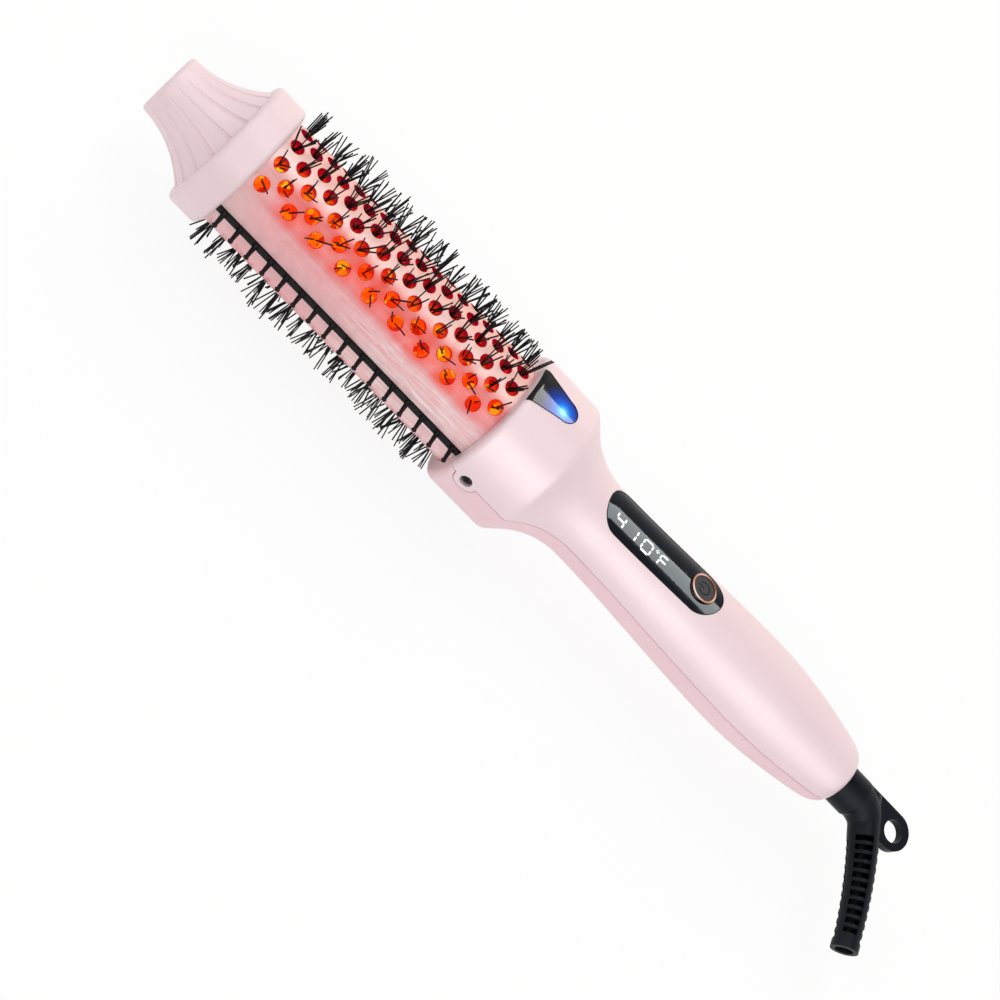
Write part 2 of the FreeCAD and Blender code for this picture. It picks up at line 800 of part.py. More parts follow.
def tact_switch():
    half = switch_size / 2
    body = block(button_x - half, button_x + half, -half, half, board_top, board_top + switch_height)
    depth = plunger_sink + 2 * button_travel
    return body.cut(Part.makeCylinder(plunger_radius + button_gap, depth + overrun,
                                      at(button_x, 0, board_top + switch_height - depth), Z))


def switch_plunger():
    low = board_top + switch_height - plunger_sink
    return Part.makeCylinder(plunger_radius, plunger_sink + plunger_rise, at(button_x, 0, low), Z)


def control_board():
    return block(board_x, board_end_x, -board_width / 2, board_width / 2, board_height, board_top)


def display_module():
    x0 = button_x - lens_straight - lens_half_width + lens_ledge + display_width / 4
    return block(x0, x0 + display_length, -display_width / 2, display_width / 2, board_top,
                 board_top + display_height)


def ion_generator():
    x0 = collar_end_x + generator_place
    return block(x0, x0 + generator_length, -generator_width / 2, generator_width / 2,
                 cradle_height, cradle_height + generator_height)


# Swivel, slip rings and contacts
def swivel_hub():
    """The turning core: spindle for the slip rings, flange behind the rib and spigot in the boot."""
    flange_end = hub_x + hub_flange_thickness
    return turned([(spindle_x, 0), (spindle_x, spindle_radius), (hub_x, spindle_radius),
                   (hub_x, hub_flange_radius), (flange_end, hub_flange_radius), (flange_end, spigot_radius),
                   (flange_end + spigot_length, spigot_radius), (flange_end + spigot_length, 0)])


def ring_places():
    return [spindle_x + slip_ring_gap + k * (slip_ring_width + slip_ring_gap) for k in (0, 1)]


def slip_rings():
    return Part.makeCompound([tube(x, x + slip_ring_width, slip_ring_radius, spindle_radius + snug_gap)
                              for x in ring_places()])


def contact_blades():
    """One upright spring blade beside each slip ring, on opposite sides."""
    blades = []
    for x, side in zip(ring_places(), (-1, 1)):
        faces = sorted((side * (slip_ring_radius + fit_gap),
                        side * (slip_ring_radius + fit_gap + blade_thickness)))
        blades.append(block(x, x + slip_ring_width, faces[0], faces[1], terminal_top, blade_rise))
    return Part.makeCompound(blades)


def terminal_block():
    return block(spindle_x, rib_x, -terminal_width / 2, terminal_width / 2, terminal_top - terminal_height,
                 terminal_top)


# Cord boot and sleeve, drawn in the seam plane with the bend towards -Y
def bend_way(angle):
    turn = math.radians(angle)
    return at(math.cos(turn), -math.sin(turn), 0)


def boot_start():
    return bend_x - boot_bend_radius * math.tan(math.radians(boot_angle) / 2)


def along_bend(start, radius, angle0, angle):
    """A place on an arc that leaves a start at one angle and has turned to another."""
    side0, side = bend_way(angle0 + 90), bend_way(angle + 90)
    return start + side0 * radius - side * radius


def bend_end():
    return along_bend(at(boot_start(), 0, 0), boot_bend_radius, 0, boot_angle)


def full_corner():
    """The outer corner of the elbow, where the neck's side runs on to meet the sleeve's side."""
    corner = at(bend_x, 0, 0)
    reach = 2 * boot_radius
    neck = rod(bend_x - reach, bend_x + reach, boot_radius - corner_step)
    way = bend_way(boot_angle)
    length = reach + bend_x - boot_start() + boot_plain_length / 2
    side = Part.makeCylinder(boot_end_radius - corner_step, length, corner - way * reach, way)
    return neck.common(side)


def settle(shape):
    """The swivel's pieces at the turn in which they rest."""
    return round_x(shape, boot_rest_angle)


def cord_boot():
    """Neck, tapering elbow and hanging loop."""
    neck_x = tail_wall_x - end_play
    start = at(boot_start(), 0, 0)
    body = rod(neck_x, boot_start(), boot_radius)
    stations = []
    for k in range(boot_stations):
        share = k / (boot_stations - 1)
        angle = boot_angle * share
        stations.append((along_bend(start, boot_bend_radius, 0, angle), bend_way(angle),
                         boot_radius + (boot_end_radius - boot_radius) * share))
    plain = Part.makeCylinder(boot_end_radius, boot_plain_length, bend_end(), bend_way(boot_angle))
    rim = loop_hole_radius + loop_rim
    centre = at(bend_x + loop_reach, loop_rise, -loop_thickness / 2)
    plate = Part.makeCylinder(rim, loop_thickness, centre, Z)
    web = block(bend_x, centre.x, centre.y - rim, centre.y + rim, -loop_thickness / 2, loop_thickness / 2)
    tab = plate.fuse(web).cut(sleeve_skin(snug_gap))
    body = body.fuse([round_loft(stations), plain, tab, full_corner()])
    hole = Part.makeCylinder(loop_hole_radius, loop_thickness + 2 * overrun, centre - Z * overrun, Z)
    bore = rod(neck_x - overrun, hub_x + hub_flange_thickness + spigot_length + snug_gap,
               spigot_radius + snug_gap)
    return settle(body.cut([hole, bore]))


def sleeve_station(share):
    """Centre, direction and outer radius along the bent, slotted stretch of the sleeve."""
    length = (window_count + 0.5) * window_pitch
    start = bend_end() + bend_way(boot_angle) * boot_plain_length
    radius = length / math.radians(sleeve_sweep)
    angle = boot_angle + sleeve_sweep * share
    return (along_bend(start, radius, boot_angle, angle), bend_way(angle),
            boot_end_radius + (sleeve_end_radius - boot_end_radius) * share)


def sleeve_skin(gap):
    """The outer form of the slotted stretch, grown by a gap."""
    shares = [k / (sleeve_stations - 1) for k in range(sleeve_stations)]
    return round_loft([(centre, way, r + gap) for centre, way, r in map(sleeve_station, shares)])


def sleeve_cut(share, width, height, inset):
    """A slot through the sleeve at one place, facing out of the bend plane and open past an inset."""
    centre, way, radius = sleeve_station(share)
    deep = radius + overrun
    cutter = block(-height / 2, height / 2, -width / 2, width / 2, inset, deep)
    cutter.rotate(ORIGIN, X, window_turn)
    cutter.rotate(ORIGIN, Z, -math.degrees(math.atan2(-way.y, way.x)))
    cutter.translate(centre)
    return cutter


def cord_sleeve():
    """The slotted sleeve: windows to the bore on one side and notches between them on the others."""
    shares = [k / (sleeve_stations - 1) for k in range(sleeve_stations)]
    skin = sleeve_skin(0)
    bore = round_loft([sleeve_station(s)[:2] + (sleeve_bore_radius,) for s in shares])
    centre, way, radius = sleeve_station(1)
    cuff = Part.makeCylinder(sleeve_cuff_radius, sleeve_cuff_length, centre, way)
    cord_bore = Part.makeCylinder(cord_bore_radius, sleeve_cuff_length + 2 * overrun,
                                  centre - way * overrun, way)
    cuts = []
    for k in range(window_count):
        width = window_width + (window_end_width - window_width) * k / (window_count - 1)
        cuts.append(sleeve_cut((k + 0.5) / (window_count + 0.5), width, window_height, 0))
        share = (k + 1) / (window_count + 0.5)
        spot, spot_way, outer = sleeve_station(share)
        for turn in (90, 180, 270):
            notch = sleeve_cut(share, notch_width, window_height,
                               outer - notch_share * (outer - sleeve_bore_radius))
            notch.rotate(spot, spot_way, turn)
            cuts.append(notch)
    return settle(skin.cut([bore] + cuts).fuse(cuff).cut(cord_bore))


# Leads
def lead(start, start_run, end, end_run):
    """A round lead with a straight run at both ends and an easy bend between."""
    bend = [start + X * start_run, end - X * end_run]
    pull = X * ((bend[1].x - bend[0].x) * curve_share)
    curve = Part.BezierCurve()
    curve.setPoles([bend[0], bend[0] + pull, bend[1] - pull, bend[1]])
    path = Part.Wire([Part.makeLine(start, bend[0]), curve.toShape(), Part.makeLine(bend[1], end)])
    ring = Part.Wire(Part.makeCircle(lead_radius, start, X))
    return path.makePipeShell([ring], True, False)


def heater_leads():
    """Two leads from the heater's end through the socket to the underside of the board."""
    heater_end = barrel_middle_x + heater_length / 2
    low = board_height - lead_radius
    pair = [lead(at(heater_end, 0, side * sensor_height), socket_end_x - heater_end,
                 at(board_x + lead_overlap, side * lead_spread, low), 2 * lead_overlap) for side in (-1, 1)]
    return Part.makeCompound(pair)


def power_leads():
    """Two leads from the board to the terminal block."""
    low = board_height - lead_radius
    end = terminal_top - terminal_height / 2
    pair = [lead(at(board_end_x - lead_overlap, side * lead_spread, low), lead_overlap,
                 at(spindle_x, side * terminal_spread, end), lead_run) for side in (-1, 1)]
    return Part.makeCompound(pair)


def mirrored(shape):
    """The same piece on the opposite side of the axis."""
    return round_x(shape, 180)


front_shape, tuft_shape, carrier_shape = barrel_shell(), bristle_tufts(), bristle_carrier()
comb_shape, spreader_shape, strip_shape = comb(), heat_spreader(), glow_strip()

nodes = {
    "tip_cap": tip_cap(),
    "tip_plug": tip_plug(),
    "barrel_front": front_shape,
    "barrel_back": mirrored(front_shape),
    "bristle_carrier_front": carrier_shape,
    "bristle_carrier_back": mirrored(carrier_shape),
    "bristle_tufts_front": tuft_shape,
    "bristle_tufts_back": mirrored(tuft_shape),
    "comb_right": comb_shape,
    "comb_left": mirrored(comb_shape),
    "heat_spreader_right": spreader_shape,
    "heat_spreader_left": mirrored(spreader_shape),
    "ceramic_heater": ceramic_heater(),
    "thermistor": sensor(1),
    "thermal_fuse": sensor(-1),
    "glow_strip_front": strip_shape,
    "glow_strip_back": mirrored(strip_shape),
    "barrel_socket": barrel_socket(),
    "tie_screws": tie_screws(),
    "front_shell": front_shell(),
    "back_shell": back_shell(),
    "collar_screws": collar_screws(),
    "ion_window": ion_window(),
    "ion_lamp": ion_lamp(),
    "ion_emitter": ion_emitter(),
    "ion_generator": ion_generator(),
    "display_lens": display_lens(),
    "display_module": display_module(),
    "control_board": control_board(),
    "button_ring": button_ring(),
    "power_button": power_button(),
    "tact_switch": tact_switch(),
    "switch_plunger": switch_plunger(),
    "swivel_hub": swivel_hub(),
    "slip_rings": slip_rings(),
    "contact_blades": contact_blades(),
    "terminal_block": terminal_block(),
    "cord_boot": cord_boot(),
    "cord_sleeve": cord_sleeve(),
    "heater_leads": heater_leads(),
    "power_leads": power_leads(),
}

os.makedirs("parts", exist_ok=True)
for name, shape in nodes.items():
    shape.exportStep("parts/" + name + ".step")
    print(name, len(shape.Solids), "solid(s)", round(shape.Volume), "mm3", shape.isValid())
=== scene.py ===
# %% [markdown]
# # A heated hair styling brush
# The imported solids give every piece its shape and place. This lesson dresses them: each solid gets a finish made of
# shader nodes, the bristle tufts become single bristles, the plates behind the holes become lit cups, and the small
# marks of the display, the button and the screws are added. All lengths are metres in the frame of the solids: X runs
# from the tip to the cord, Z points out of the display side, and the combs stand along Y.

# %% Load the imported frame
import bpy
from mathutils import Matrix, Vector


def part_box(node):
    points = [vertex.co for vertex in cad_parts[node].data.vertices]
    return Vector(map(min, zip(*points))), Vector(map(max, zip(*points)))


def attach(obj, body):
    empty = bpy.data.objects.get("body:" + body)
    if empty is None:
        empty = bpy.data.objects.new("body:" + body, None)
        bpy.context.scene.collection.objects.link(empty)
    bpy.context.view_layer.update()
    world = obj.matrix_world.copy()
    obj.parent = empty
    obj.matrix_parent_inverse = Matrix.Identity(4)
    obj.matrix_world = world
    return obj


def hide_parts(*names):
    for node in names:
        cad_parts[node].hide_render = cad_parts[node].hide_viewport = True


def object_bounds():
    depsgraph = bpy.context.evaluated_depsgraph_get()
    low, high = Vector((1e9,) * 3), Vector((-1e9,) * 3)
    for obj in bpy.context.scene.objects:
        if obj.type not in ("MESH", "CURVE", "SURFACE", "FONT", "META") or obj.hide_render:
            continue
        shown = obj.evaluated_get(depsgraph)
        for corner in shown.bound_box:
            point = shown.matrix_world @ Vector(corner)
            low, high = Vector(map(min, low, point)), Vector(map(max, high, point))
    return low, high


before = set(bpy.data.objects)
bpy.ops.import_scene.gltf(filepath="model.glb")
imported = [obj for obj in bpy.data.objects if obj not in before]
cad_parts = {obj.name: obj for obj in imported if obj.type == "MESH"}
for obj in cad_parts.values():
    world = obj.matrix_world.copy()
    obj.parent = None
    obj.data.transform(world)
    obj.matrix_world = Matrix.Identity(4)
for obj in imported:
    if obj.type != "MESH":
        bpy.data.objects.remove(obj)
cad_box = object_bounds()
print("solids:", len(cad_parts), "box:", [tuple(round(c, 4) for c in corner) for corner in cad_box])

# %% Tools of the lesson
import math
import random

import bmesh
import bpy
from mathutils import Matrix, Vector
from mathutils.bvhtree import BVHTree

mm = 0.001
barrel_radius = 19.0 * mm
scene = bpy.context.scene
scene.view_settings.view_transform = "Standard"
nodes_of_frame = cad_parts
print("view:", scene.view_settings.view_transform)

# %% [markdown]
# ## Camera
# The camera was worked out from the rows of holes, the axis and the outline of the brush. Its matrix is written from
# its right and up directions, because three turns in a row are harder to read than three directions.

# %% Place the camera
camera_place = Vector((-14.1, -458.2, 461.8)) * mm
camera_right = Vector((0.67514, 0.40234, 0.61831))
camera_up = Vector((-0.69536, 0.62691, 0.35135))
focal_pixels = 2300
picture_pixels = 1000
sensor = 36.0

camera = bpy.data.objects.new("photo_camera", bpy.data.cameras.new("photo_camera"))
scene.collection.objects.link(camera)
scene.camera = camera
camera.data.sensor_width = sensor
camera.data.lens = sensor * focal_pixels / picture_pixels
turn = Matrix((camera_right, camera_up, camera_right.cross(camera_up))).transposed().to_4x4()
camera.matrix_world = Matrix.Translation(camera_place) @ turn
print("lens:", round(camera.data.lens, 1), "mm")

# %% [markdown]
# ## Node helpers
# A material is a small graph. Short helpers keep the graphs readable: they fill the sockets of a node with values or
# links, and they add a step of arithmetic, a noise, a mix of two colours or a ramp of colours. Two more make and
# place a node group with named sockets, for an effect that several finishes share.


# %% Helpers for shader nodes
def fill(tree, node, sockets):
    """Sets sockets of a node to values or links them to outputs."""
    for key, value in sockets.items():
        if isinstance(value, bpy.types.NodeSocket):
            tree.links.new(value, node.inputs[key])
        else:
            node.inputs[key].default_value = value


def add(tree, kind, sockets=None, **settings):
    """A node with its settings made and its sockets filled."""
    node = tree.nodes.new(kind)
    for name, value in settings.items():
        setattr(node, name, value)
    fill(tree, node, sockets or {})
    return node


def place_of(tree):
    """The place in the frame of the piece, as an output socket."""
    return add(tree, "ShaderNodeTexCoord").outputs["Object"]


def axes_of(tree, vector):
    """The parts of a vector along X, Y and Z, as output sockets."""
    return add(tree, "ShaderNodeSeparateXYZ", {0: vector}).outputs


print("node helpers ready")


# %% Helpers for arithmetic
def calc(tree, operation, *values):
    """One step of arithmetic, as an output socket."""
    return add(tree, "ShaderNodeMath", dict(enumerate(values)), operation=operation).outputs[0]


def times(tree, first, second):
    """A product, the step that is used most."""
    return calc(tree, "MULTIPLY", first, second)


def clamp(tree, value, low, high):
    """A value kept between two limits."""
    return calc(tree, "MINIMUM", calc(tree, "MAXIMUM", value, low), high)


def hypotenuse(tree, first, second):
    """The distance that two lengths at right angles make."""
    return calc(tree, "SQRT", calc(tree, "ADD", calc(tree, "POWER", first, 2.0), calc(tree, "POWER", second, 2.0)))


def remap(tree, value, low, high, to_low=0.0, to_high=1.0, smooth=False):
    """A value moved from one range to another."""
    node = add(tree, "ShaderNodeMapRange", {0: value, 1: low, 2: high, 3: to_low, 4: to_high})
    node.interpolation_type = "SMOOTHSTEP" if smooth else "LINEAR"
    return node.outputs[0]


print("arithmetic ready")


# %% Helpers for noise and colour
noise_low, noise_high = 0.35, 0.65


def noise(tree, vector, scale, detail, **sockets):
    """A cloudy value, mostly between noise_low and noise_high, as an output socket."""
    return add(tree, "ShaderNodeTexNoise", {"Vector": vector, "Scale": scale, "Detail": detail, **sockets}).outputs[0]


def blend_colour(tree, share, first, second):
    """Two colours mixed by a share, as an output socket."""
    return add(tree, "ShaderNodeMix", {0: share, 6: first, 7: second}, data_type="RGBA").outputs[2]


def ramp(tree, value, stops):
    """Colours along a value, from (place, colour) stops."""
    node = add(tree, "ShaderNodeValToRGB", {0: value})
    bar = node.color_ramp.elements
    while len(bar) < len(stops):
        bar.new(1.0)
    for stop, (place, colour) in zip(bar, stops):
        stop.position = place
        stop.color = (*colour, 1.0)
    return node.outputs[0]


print("noise and colour ready")

# %% Helpers for node groups
NUMBER, COLOUR = "NodeSocketFloat", "NodeSocketColor"


def new_group(name, inputs, outputs):
    """A shader node group with named sockets: its tree, what comes in and the node that hands out."""
    group = bpy.data.node_groups.new(name, "ShaderNodeTree")
    for label, kind, value in inputs:
        group.interface.new_socket(label, in_out="INPUT", socket_type=kind).default_value = value
    for label, kind in outputs:
        group.interface.new_socket(label, in_out="OUTPUT", socket_type=kind)
    return group, group.nodes.new("NodeGroupInput").outputs, group.nodes.new("NodeGroupOutput")


def place_group(tree, group, sockets):
    """The outputs of a group that is placed in a tree."""
    return add(tree, "ShaderNodeGroup", sockets, node_tree=group).outputs


print("node groups ready")

# %% [markdown]
# ## Moulded skin
# Every moulded piece has a slight cloudiness in its colour and a fine grain from the tool that formed it. The grain
# changes how dull the surface is from place to place and lifts it by hundredths of a millimetre. One group does this
# for the shells, the combs, the rubber and the pieces inside, each with its own two colours and grain.

# %% Group: moulded skin
cloud_scale = 38.0
cloud_share = 0.6
moulded_skin, given, out = new_group(
    "moulded skin",
    [("Colour", COLOUR, (0.8, 0.8, 0.8, 1)), ("Cloud Colour", COLOUR, (0.7, 0.7, 0.7, 1)),
     ("Grain Scale", NUMBER, 2500.0), ("Smooth", NUMBER, 0.35), ("Dull", NUMBER, 0.5)],
    [("Colour", COLOUR), ("Roughness", NUMBER), ("Height", NUMBER)])
spot = place_of(moulded_skin)
cloud = noise(moulded_skin, spot, cloud_scale, 3.0)
grain = noise(moulded_skin, spot, given["Grain Scale"], 4.0, Roughness=0.6)
patchy = calc(moulded_skin, "ADD", times(moulded_skin, cloud, cloud_share),
              times(moulded_skin, grain, 1.0 - cloud_share))
cloudy = remap(moulded_skin, cloud, noise_low, noise_high)
fill(moulded_skin, out, {
    "Colour": blend_colour(moulded_skin, cloudy, given["Colour"], given["Cloud Colour"]),
    "Roughness": remap(moulded_skin, patchy, noise_low, noise_high, given["Smooth"], given["Dull"]),
    "Height": grain})
print(moulded_skin.name, len(moulded_skin.nodes), "nodes")

# %% [markdown]
# ## Drawn lines
# The coat of the barrel was brushed along the brush, which leaves long thin lines. Noise that is stretched along X
# and tight round the axis gives them. The angle round the axis is used, so the lines follow the barrel instead of
# cutting across it.

# %% Group: drawn lines
drawn_lines, given, out = new_group(
    "drawn lines",
    [("Along", NUMBER, 14.0), ("Across", NUMBER, 900.0), ("Wobble", NUMBER, 0.4)],
    [("Line", NUMBER), ("Height", NUMBER)])
axes = axes_of(drawn_lines, place_of(drawn_lines))
around = calc(drawn_lines, "ARCTAN2", axes["Y"], axes["Z"])
lane = add(drawn_lines, "ShaderNodeCombineXYZ", {
    0: times(drawn_lines, axes["X"], given["Along"]),
    1: times(drawn_lines, around, times(drawn_lines, given["Across"], barrel_radius))}).outputs[0]
line = noise(drawn_lines, lane, 1.0, 5.0, Roughness=0.62, Distortion=given["Wobble"])
fill(drawn_lines, out, {"Line": remap(drawn_lines, line, 0.42, 0.68), "Height": line})
print(drawn_lines.name, len(drawn_lines.nodes), "nodes")

# %% [markdown]
# ## Finger marks
# Gloss shows what touched it. A few soft blotches, a little duller than the rest, keep the lens, the window, the ring
# and the lit plates from looking like computed mirrors.

# %% Group: finger marks
blotch_scale = 160.0
finger_marks, given, out = new_group(
    "finger marks", [("Clean", NUMBER, 0.06), ("Marked", NUMBER, 0.16)], [("Roughness", NUMBER), ("Mask", NUMBER)])
blotch = noise(finger_marks, place_of(finger_marks), blotch_scale, 5.0, Distortion=0.8)
mask = remap(finger_marks, blotch, 0.48, 0.7)
fill(finger_marks, out, {
    "Roughness": remap(finger_marks, mask, 0.0, 1.0, given["Clean"], given["Marked"]), "Mask": mask})
print(finger_marks.name, len(finger_marks.nodes), "nodes")

# %% [markdown]
# ## Where the holes are
# The holes lie in nine rows along each barrel half, every other row moved by half a pitch. The red glow that is
# painted on the coat needs to know how near the next hole is. Rounding the place in the row pattern finds the nearest
# hole of the even rows and of the odd rows, and the smaller distance wins. The group also gives the row, counted from
# the middle of a half, and the share of the way from the first hole to the last.

# %% The pattern of the holes
hole_radius = 2.35 * mm
hole_first = 36.42 * mm
hole_pitch = 10.56 * mm
holes_per_row = 9
row_count = 9
last_row = (row_count - 1) / 2
row_angle = math.radians(11.73)


def hole_places():
    """Angle from the display side towards the left comb, and place along the axis, of each hole."""
    for row in range(row_count):
        angle = (row - last_row) * row_angle
        for k in range(holes_per_row):
            yield angle, hole_first + (k + (row % 2) / 2) * hole_pitch


print("holes in one half:", len(list(hole_places())))


# %% Distance to the nearest hole
def nearest_in(tree, along, row, shift, farthest_row):
    """Distance to the nearest hole of every other row, moved along by a share of the pitch."""
    start = 1.0 if shift else 0.0
    step = calc(tree, "ROUND", calc(tree, "DIVIDE", calc(tree, "SUBTRACT", row, start), 2.0))
    near_row = clamp(tree, calc(tree, "ADD", times(tree, step, 2.0), start), -farthest_row, farthest_row)
    place = clamp(tree, calc(tree, "ROUND", calc(tree, "SUBTRACT", along, shift)), 0.0, holes_per_row - 1.0)
    across = times(tree, calc(tree, "SUBTRACT", row, near_row), row_angle * barrel_radius)
    length = times(tree, calc(tree, "SUBTRACT", along, calc(tree, "ADD", place, shift)), hole_pitch)
    return hypotenuse(tree, across, length)


print("rows each way from the middle:", last_row)

# %% Group: nearness to a hole
hole_field, given, out = new_group(
    "hole field", [("Reach", NUMBER, 4.5 * mm)], [("Glow", NUMBER), ("Row", NUMBER), ("Along", NUMBER)])
axes = axes_of(hole_field, place_of(hole_field))
half = calc(hole_field, "SIGN", axes["Z"])
around = calc(hole_field, "ARCTAN2", times(hole_field, axes["Y"], times(hole_field, half, -1.0)),
              calc(hole_field, "ABSOLUTE", axes["Z"]))
row = calc(hole_field, "DIVIDE", around, row_angle)
along = calc(hole_field, "DIVIDE", calc(hole_field, "SUBTRACT", axes["X"], hole_first), hole_pitch)
even = nearest_in(hole_field, along, row, 0.0, last_row)
odd = nearest_in(hole_field, along, row, 0.5, last_row - 1.0)
nearest = calc(hole_field, "SUBTRACT", calc(hole_field, "MINIMUM", even, odd), hole_radius)
glow = calc(hole_field, "SUBTRACT", 1.0, calc(hole_field, "DIVIDE", nearest, given["Reach"]))
fill(hole_field, out, {
    "Glow": clamp(hole_field, glow, 0.0, 1.0), "Row": row,
    "Along": calc(hole_field, "DIVIDE", along, holes_per_row - 0.5)})
print(hole_field.name, len(hole_field.nodes), "nodes")

# %% [markdown]
# ## Plain moulded and metal finishes
# Most pieces differ only in colour, grain and shine, so one function makes their materials from the moulded skin.
# Values that are the same all over a piece, such as the clear coat, go straight on the shader. Glossy pieces take
# their dullness from the finger marks instead.


# %% Material makers
def new_material(name):
    """An empty node material: the material, its tree and its shader."""
    material = bpy.data.materials.new(name)
    material.use_nodes = True
    return material, material.node_tree, material.node_tree.nodes["Principled BSDF"]


def relief(tree, height, lift):
    """Small relief from a height between 0 and 1, for the normal of a shader."""
    return add(tree, "ShaderNodeBump", {"Height": height, "Distance": lift, "Strength": 1.0}).outputs[0]


def touched(tree, clean, marked):
    """Finger marks on gloss: their dullness and their mask."""
    return place_group(tree, finger_marks, {"Clean": clean, "Marked": marked})


def moulded(name, colour, cloud, smooth, dull, grain=2500.0, lift=0.01 * mm, **plain):
    """A moulded, cast or pressed finish."""
    material, tree, shader = new_material(name)
    skin = place_group(tree, moulded_skin, {"Colour": (*colour, 1), "Cloud Colour": (*cloud, 1), "Grain Scale": grain,
                                            "Smooth": smooth, "Dull": dull})
    fill(tree, shader, {"Base Color": skin["Colour"], "Roughness": skin["Roughness"],
                        "Normal": relief(tree, skin["Height"], lift)})
    fill(tree, shader, {socket.replace("_", " "): value for socket, value in plain.items()})
    return material


def dress(material, *names):
    """Puts a material on CAD nodes."""
    for name in names:
        data = nodes_of_frame[name].data
        data.materials.clear()
        data.materials.append(material)


print("material makers ready")

# %% [markdown]
# ## Pink shells
# Tip, collar and handle are painted with a pale satin pink. It is a soft, slightly pearly coat: dull enough to spread
# a highlight over the whole width of the handle, with a thin clear coat on top. The back shell is a shade deeper, so
# the seam shows as a change of colour too.

# %% Finish the shells
satin = {"smooth": 0.36, "dull": 0.46, "grain": 3200.0, "lift": 0.006 * mm, "Coat_Roughness": 0.4}
satin_pink = moulded("satin_pink", (0.825, 0.665, 0.695), (0.805, 0.64, 0.67),
                     Specular_IOR_Level=0.8, Coat_Weight=0.2, **satin)
dress(satin_pink, "tip_cap", "front_shell")
deeper_pink = moulded("deeper_pink", (0.86, 0.625, 0.665), (0.84, 0.6, 0.64),
                      Specular_IOR_Level=0.6, Coat_Weight=0.1, **satin)
dress(deeper_pink, "back_shell")
print("satin pink on tip and shells")

# %% [markdown]
# ## Barrel coat
# The barrel is aluminium under a pink heat coat with lines brushed along it. Near one comb the coat is a full pink.
# From the middle rows to the other comb it is pale and gets warmer on the way, and a faint glow painted on it there
# stands in for light from the cups leaking onto it. The limits in these cells are rows counted from the middle of a
# half, or shares of the way from the first hole to the last.

# %% Colours between the holes
barrel_coat, tree, shader = new_material("barrel_coat")
lines = place_group(tree, drawn_lines, {"Along": 16.0, "Across": 850.0, "Wobble": 0.5})
field = place_group(tree, hole_field, {"Reach": 4.6 * mm})
row, along = field["Row"], field["Along"]
skin = place_group(tree, moulded_skin, {"Colour": (0.82, 0.31, 0.32, 1), "Cloud Colour": (0.77, 0.28, 0.295, 1),
                                        "Grain Scale": 1800.0, "Smooth": 0.3, "Dull": 0.42})
pale_side = times(tree, remap(tree, row, 2.9, 1.7, smooth=True), remap(tree, row, -4.7, -4.1))
pale = blend_colour(tree, remap(tree, row, 1.5, -0.4, smooth=True), (0.94, 0.7, 0.66, 1), (0.92, 0.54, 0.46, 1))
coat = blend_colour(tree, times(tree, pale_side, 0.95), skin["Colour"], pale)
coat = blend_colour(tree, times(tree, lines["Line"], 0.36), coat, (0.93, 0.72, 0.72, 1))
print("coat between the holes:", len(tree.nodes), "nodes")

# %% [markdown]
# The smooth strips beside the combs are mottled. They are greyer next to the combs, and they get paler and streaked
# towards the collar. The end at the tip is greyer all round. Each change is laid over the coat in turn.

# %% Colours of the strips
strip_grain = 420.0
streaks = place_group(tree, drawn_lines, {"Along": 60.0, "Across": 1150.0, "Wobble": 1.8})
spot = place_of(tree)
off_middle = calc(tree, "ABSOLUTE", row)
on_strip = remap(tree, off_middle, 4.6, 5.4, smooth=True)
mottle = remap(tree, noise(tree, spot, strip_grain, 5.0, Roughness=0.75), noise_low, noise_high)
mottled = blend_colour(tree, mottle, (0.84, 0.385, 0.395, 1), (0.93, 0.535, 0.55, 1))
near_collar = times(tree, on_strip, remap(tree, along, 0.5, 1.0, 0.0, 0.3))
beside_comb = remap(tree, off_middle, 5.9, 7.0, 0.0, 0.55)
near_tip = remap(tree, along, 0.12, -0.08, 0.0, 0.7, smooth=True)
streaked = times(tree, on_strip, remap(tree, along, 0.25, 0.7, smooth=True))
for share, colour in ((times(tree, on_strip, 0.65), mottled),
                      (near_collar, (0.9, 0.7, 0.7, 1)),
                      (beside_comb, (0.7, 0.47, 0.47, 1)),
                      (near_tip, (0.74, 0.58, 0.575, 1)),
                      (times(tree, streaks["Line"], streaked), (0.95, 0.82, 0.82, 1))):
    coat = blend_colour(tree, share, coat, colour)
print("coat with its strips:", len(tree.nodes), "nodes")

# %% [markdown]
# Round the holes the red glow of the lamps below is painted into the coat, as colour and as emission. The painted
# glow is strong in the rows beside one comb, and it fades towards the other comb and towards both ends.

# %% Red round the holes
patch_scale = 140.0
# painted glow: the lamps' red round each hole, strong beside one comb, weaker towards the ends and in patches
painted_glow_side = times(tree, remap(tree, row, 1.2, 2.9, 0.04, 1.0, smooth=True),
                 remap(tree, row, 5.5, 4.6, 0.1, 1.0, smooth=True))
from_ends = calc(tree, "MINIMUM", remap(tree, along, -0.06, 0.22, 0.12, 1.0, smooth=True),
                 remap(tree, along, 1.08, 0.75, 0.4, 1.0, smooth=True))
patches = remap(tree, noise(tree, spot, patch_scale, 2.0), 0.3, 0.7, 0.55, 1.3)
painted_glow_share = times(tree, times(tree, painted_glow_side, from_ends), patches)
lit = calc(tree, "MINIMUM", times(tree, calc(tree, "POWER", field["Glow"], 0.65), painted_glow_share), 1.0)
# painted glow: light from the cups leaking onto the pale rows, given as emission
painted_leak_glow = blend_colour(tree, pale_side, (0, 0, 0, 1), (0.13, 0.07, 0.055, 1))
fill(tree, shader, {
    "Base Color": blend_colour(tree, times(tree, lit, 0.95), coat, (0.84, 0.08, 0.045, 1)),
    "Roughness": skin["Roughness"],
    "Metallic": 0.1,
    "Emission Color": blend_colour(tree, lit, painted_leak_glow, (0.08, 0.005, 0.002, 1)),
    "Emission Strength": 1.0,
    "Normal": relief(tree, lines["Height"], 0.02 * mm)})
dress(barrel_coat, "barrel_front", "barrel_back")
print("coat on both barrel halves")
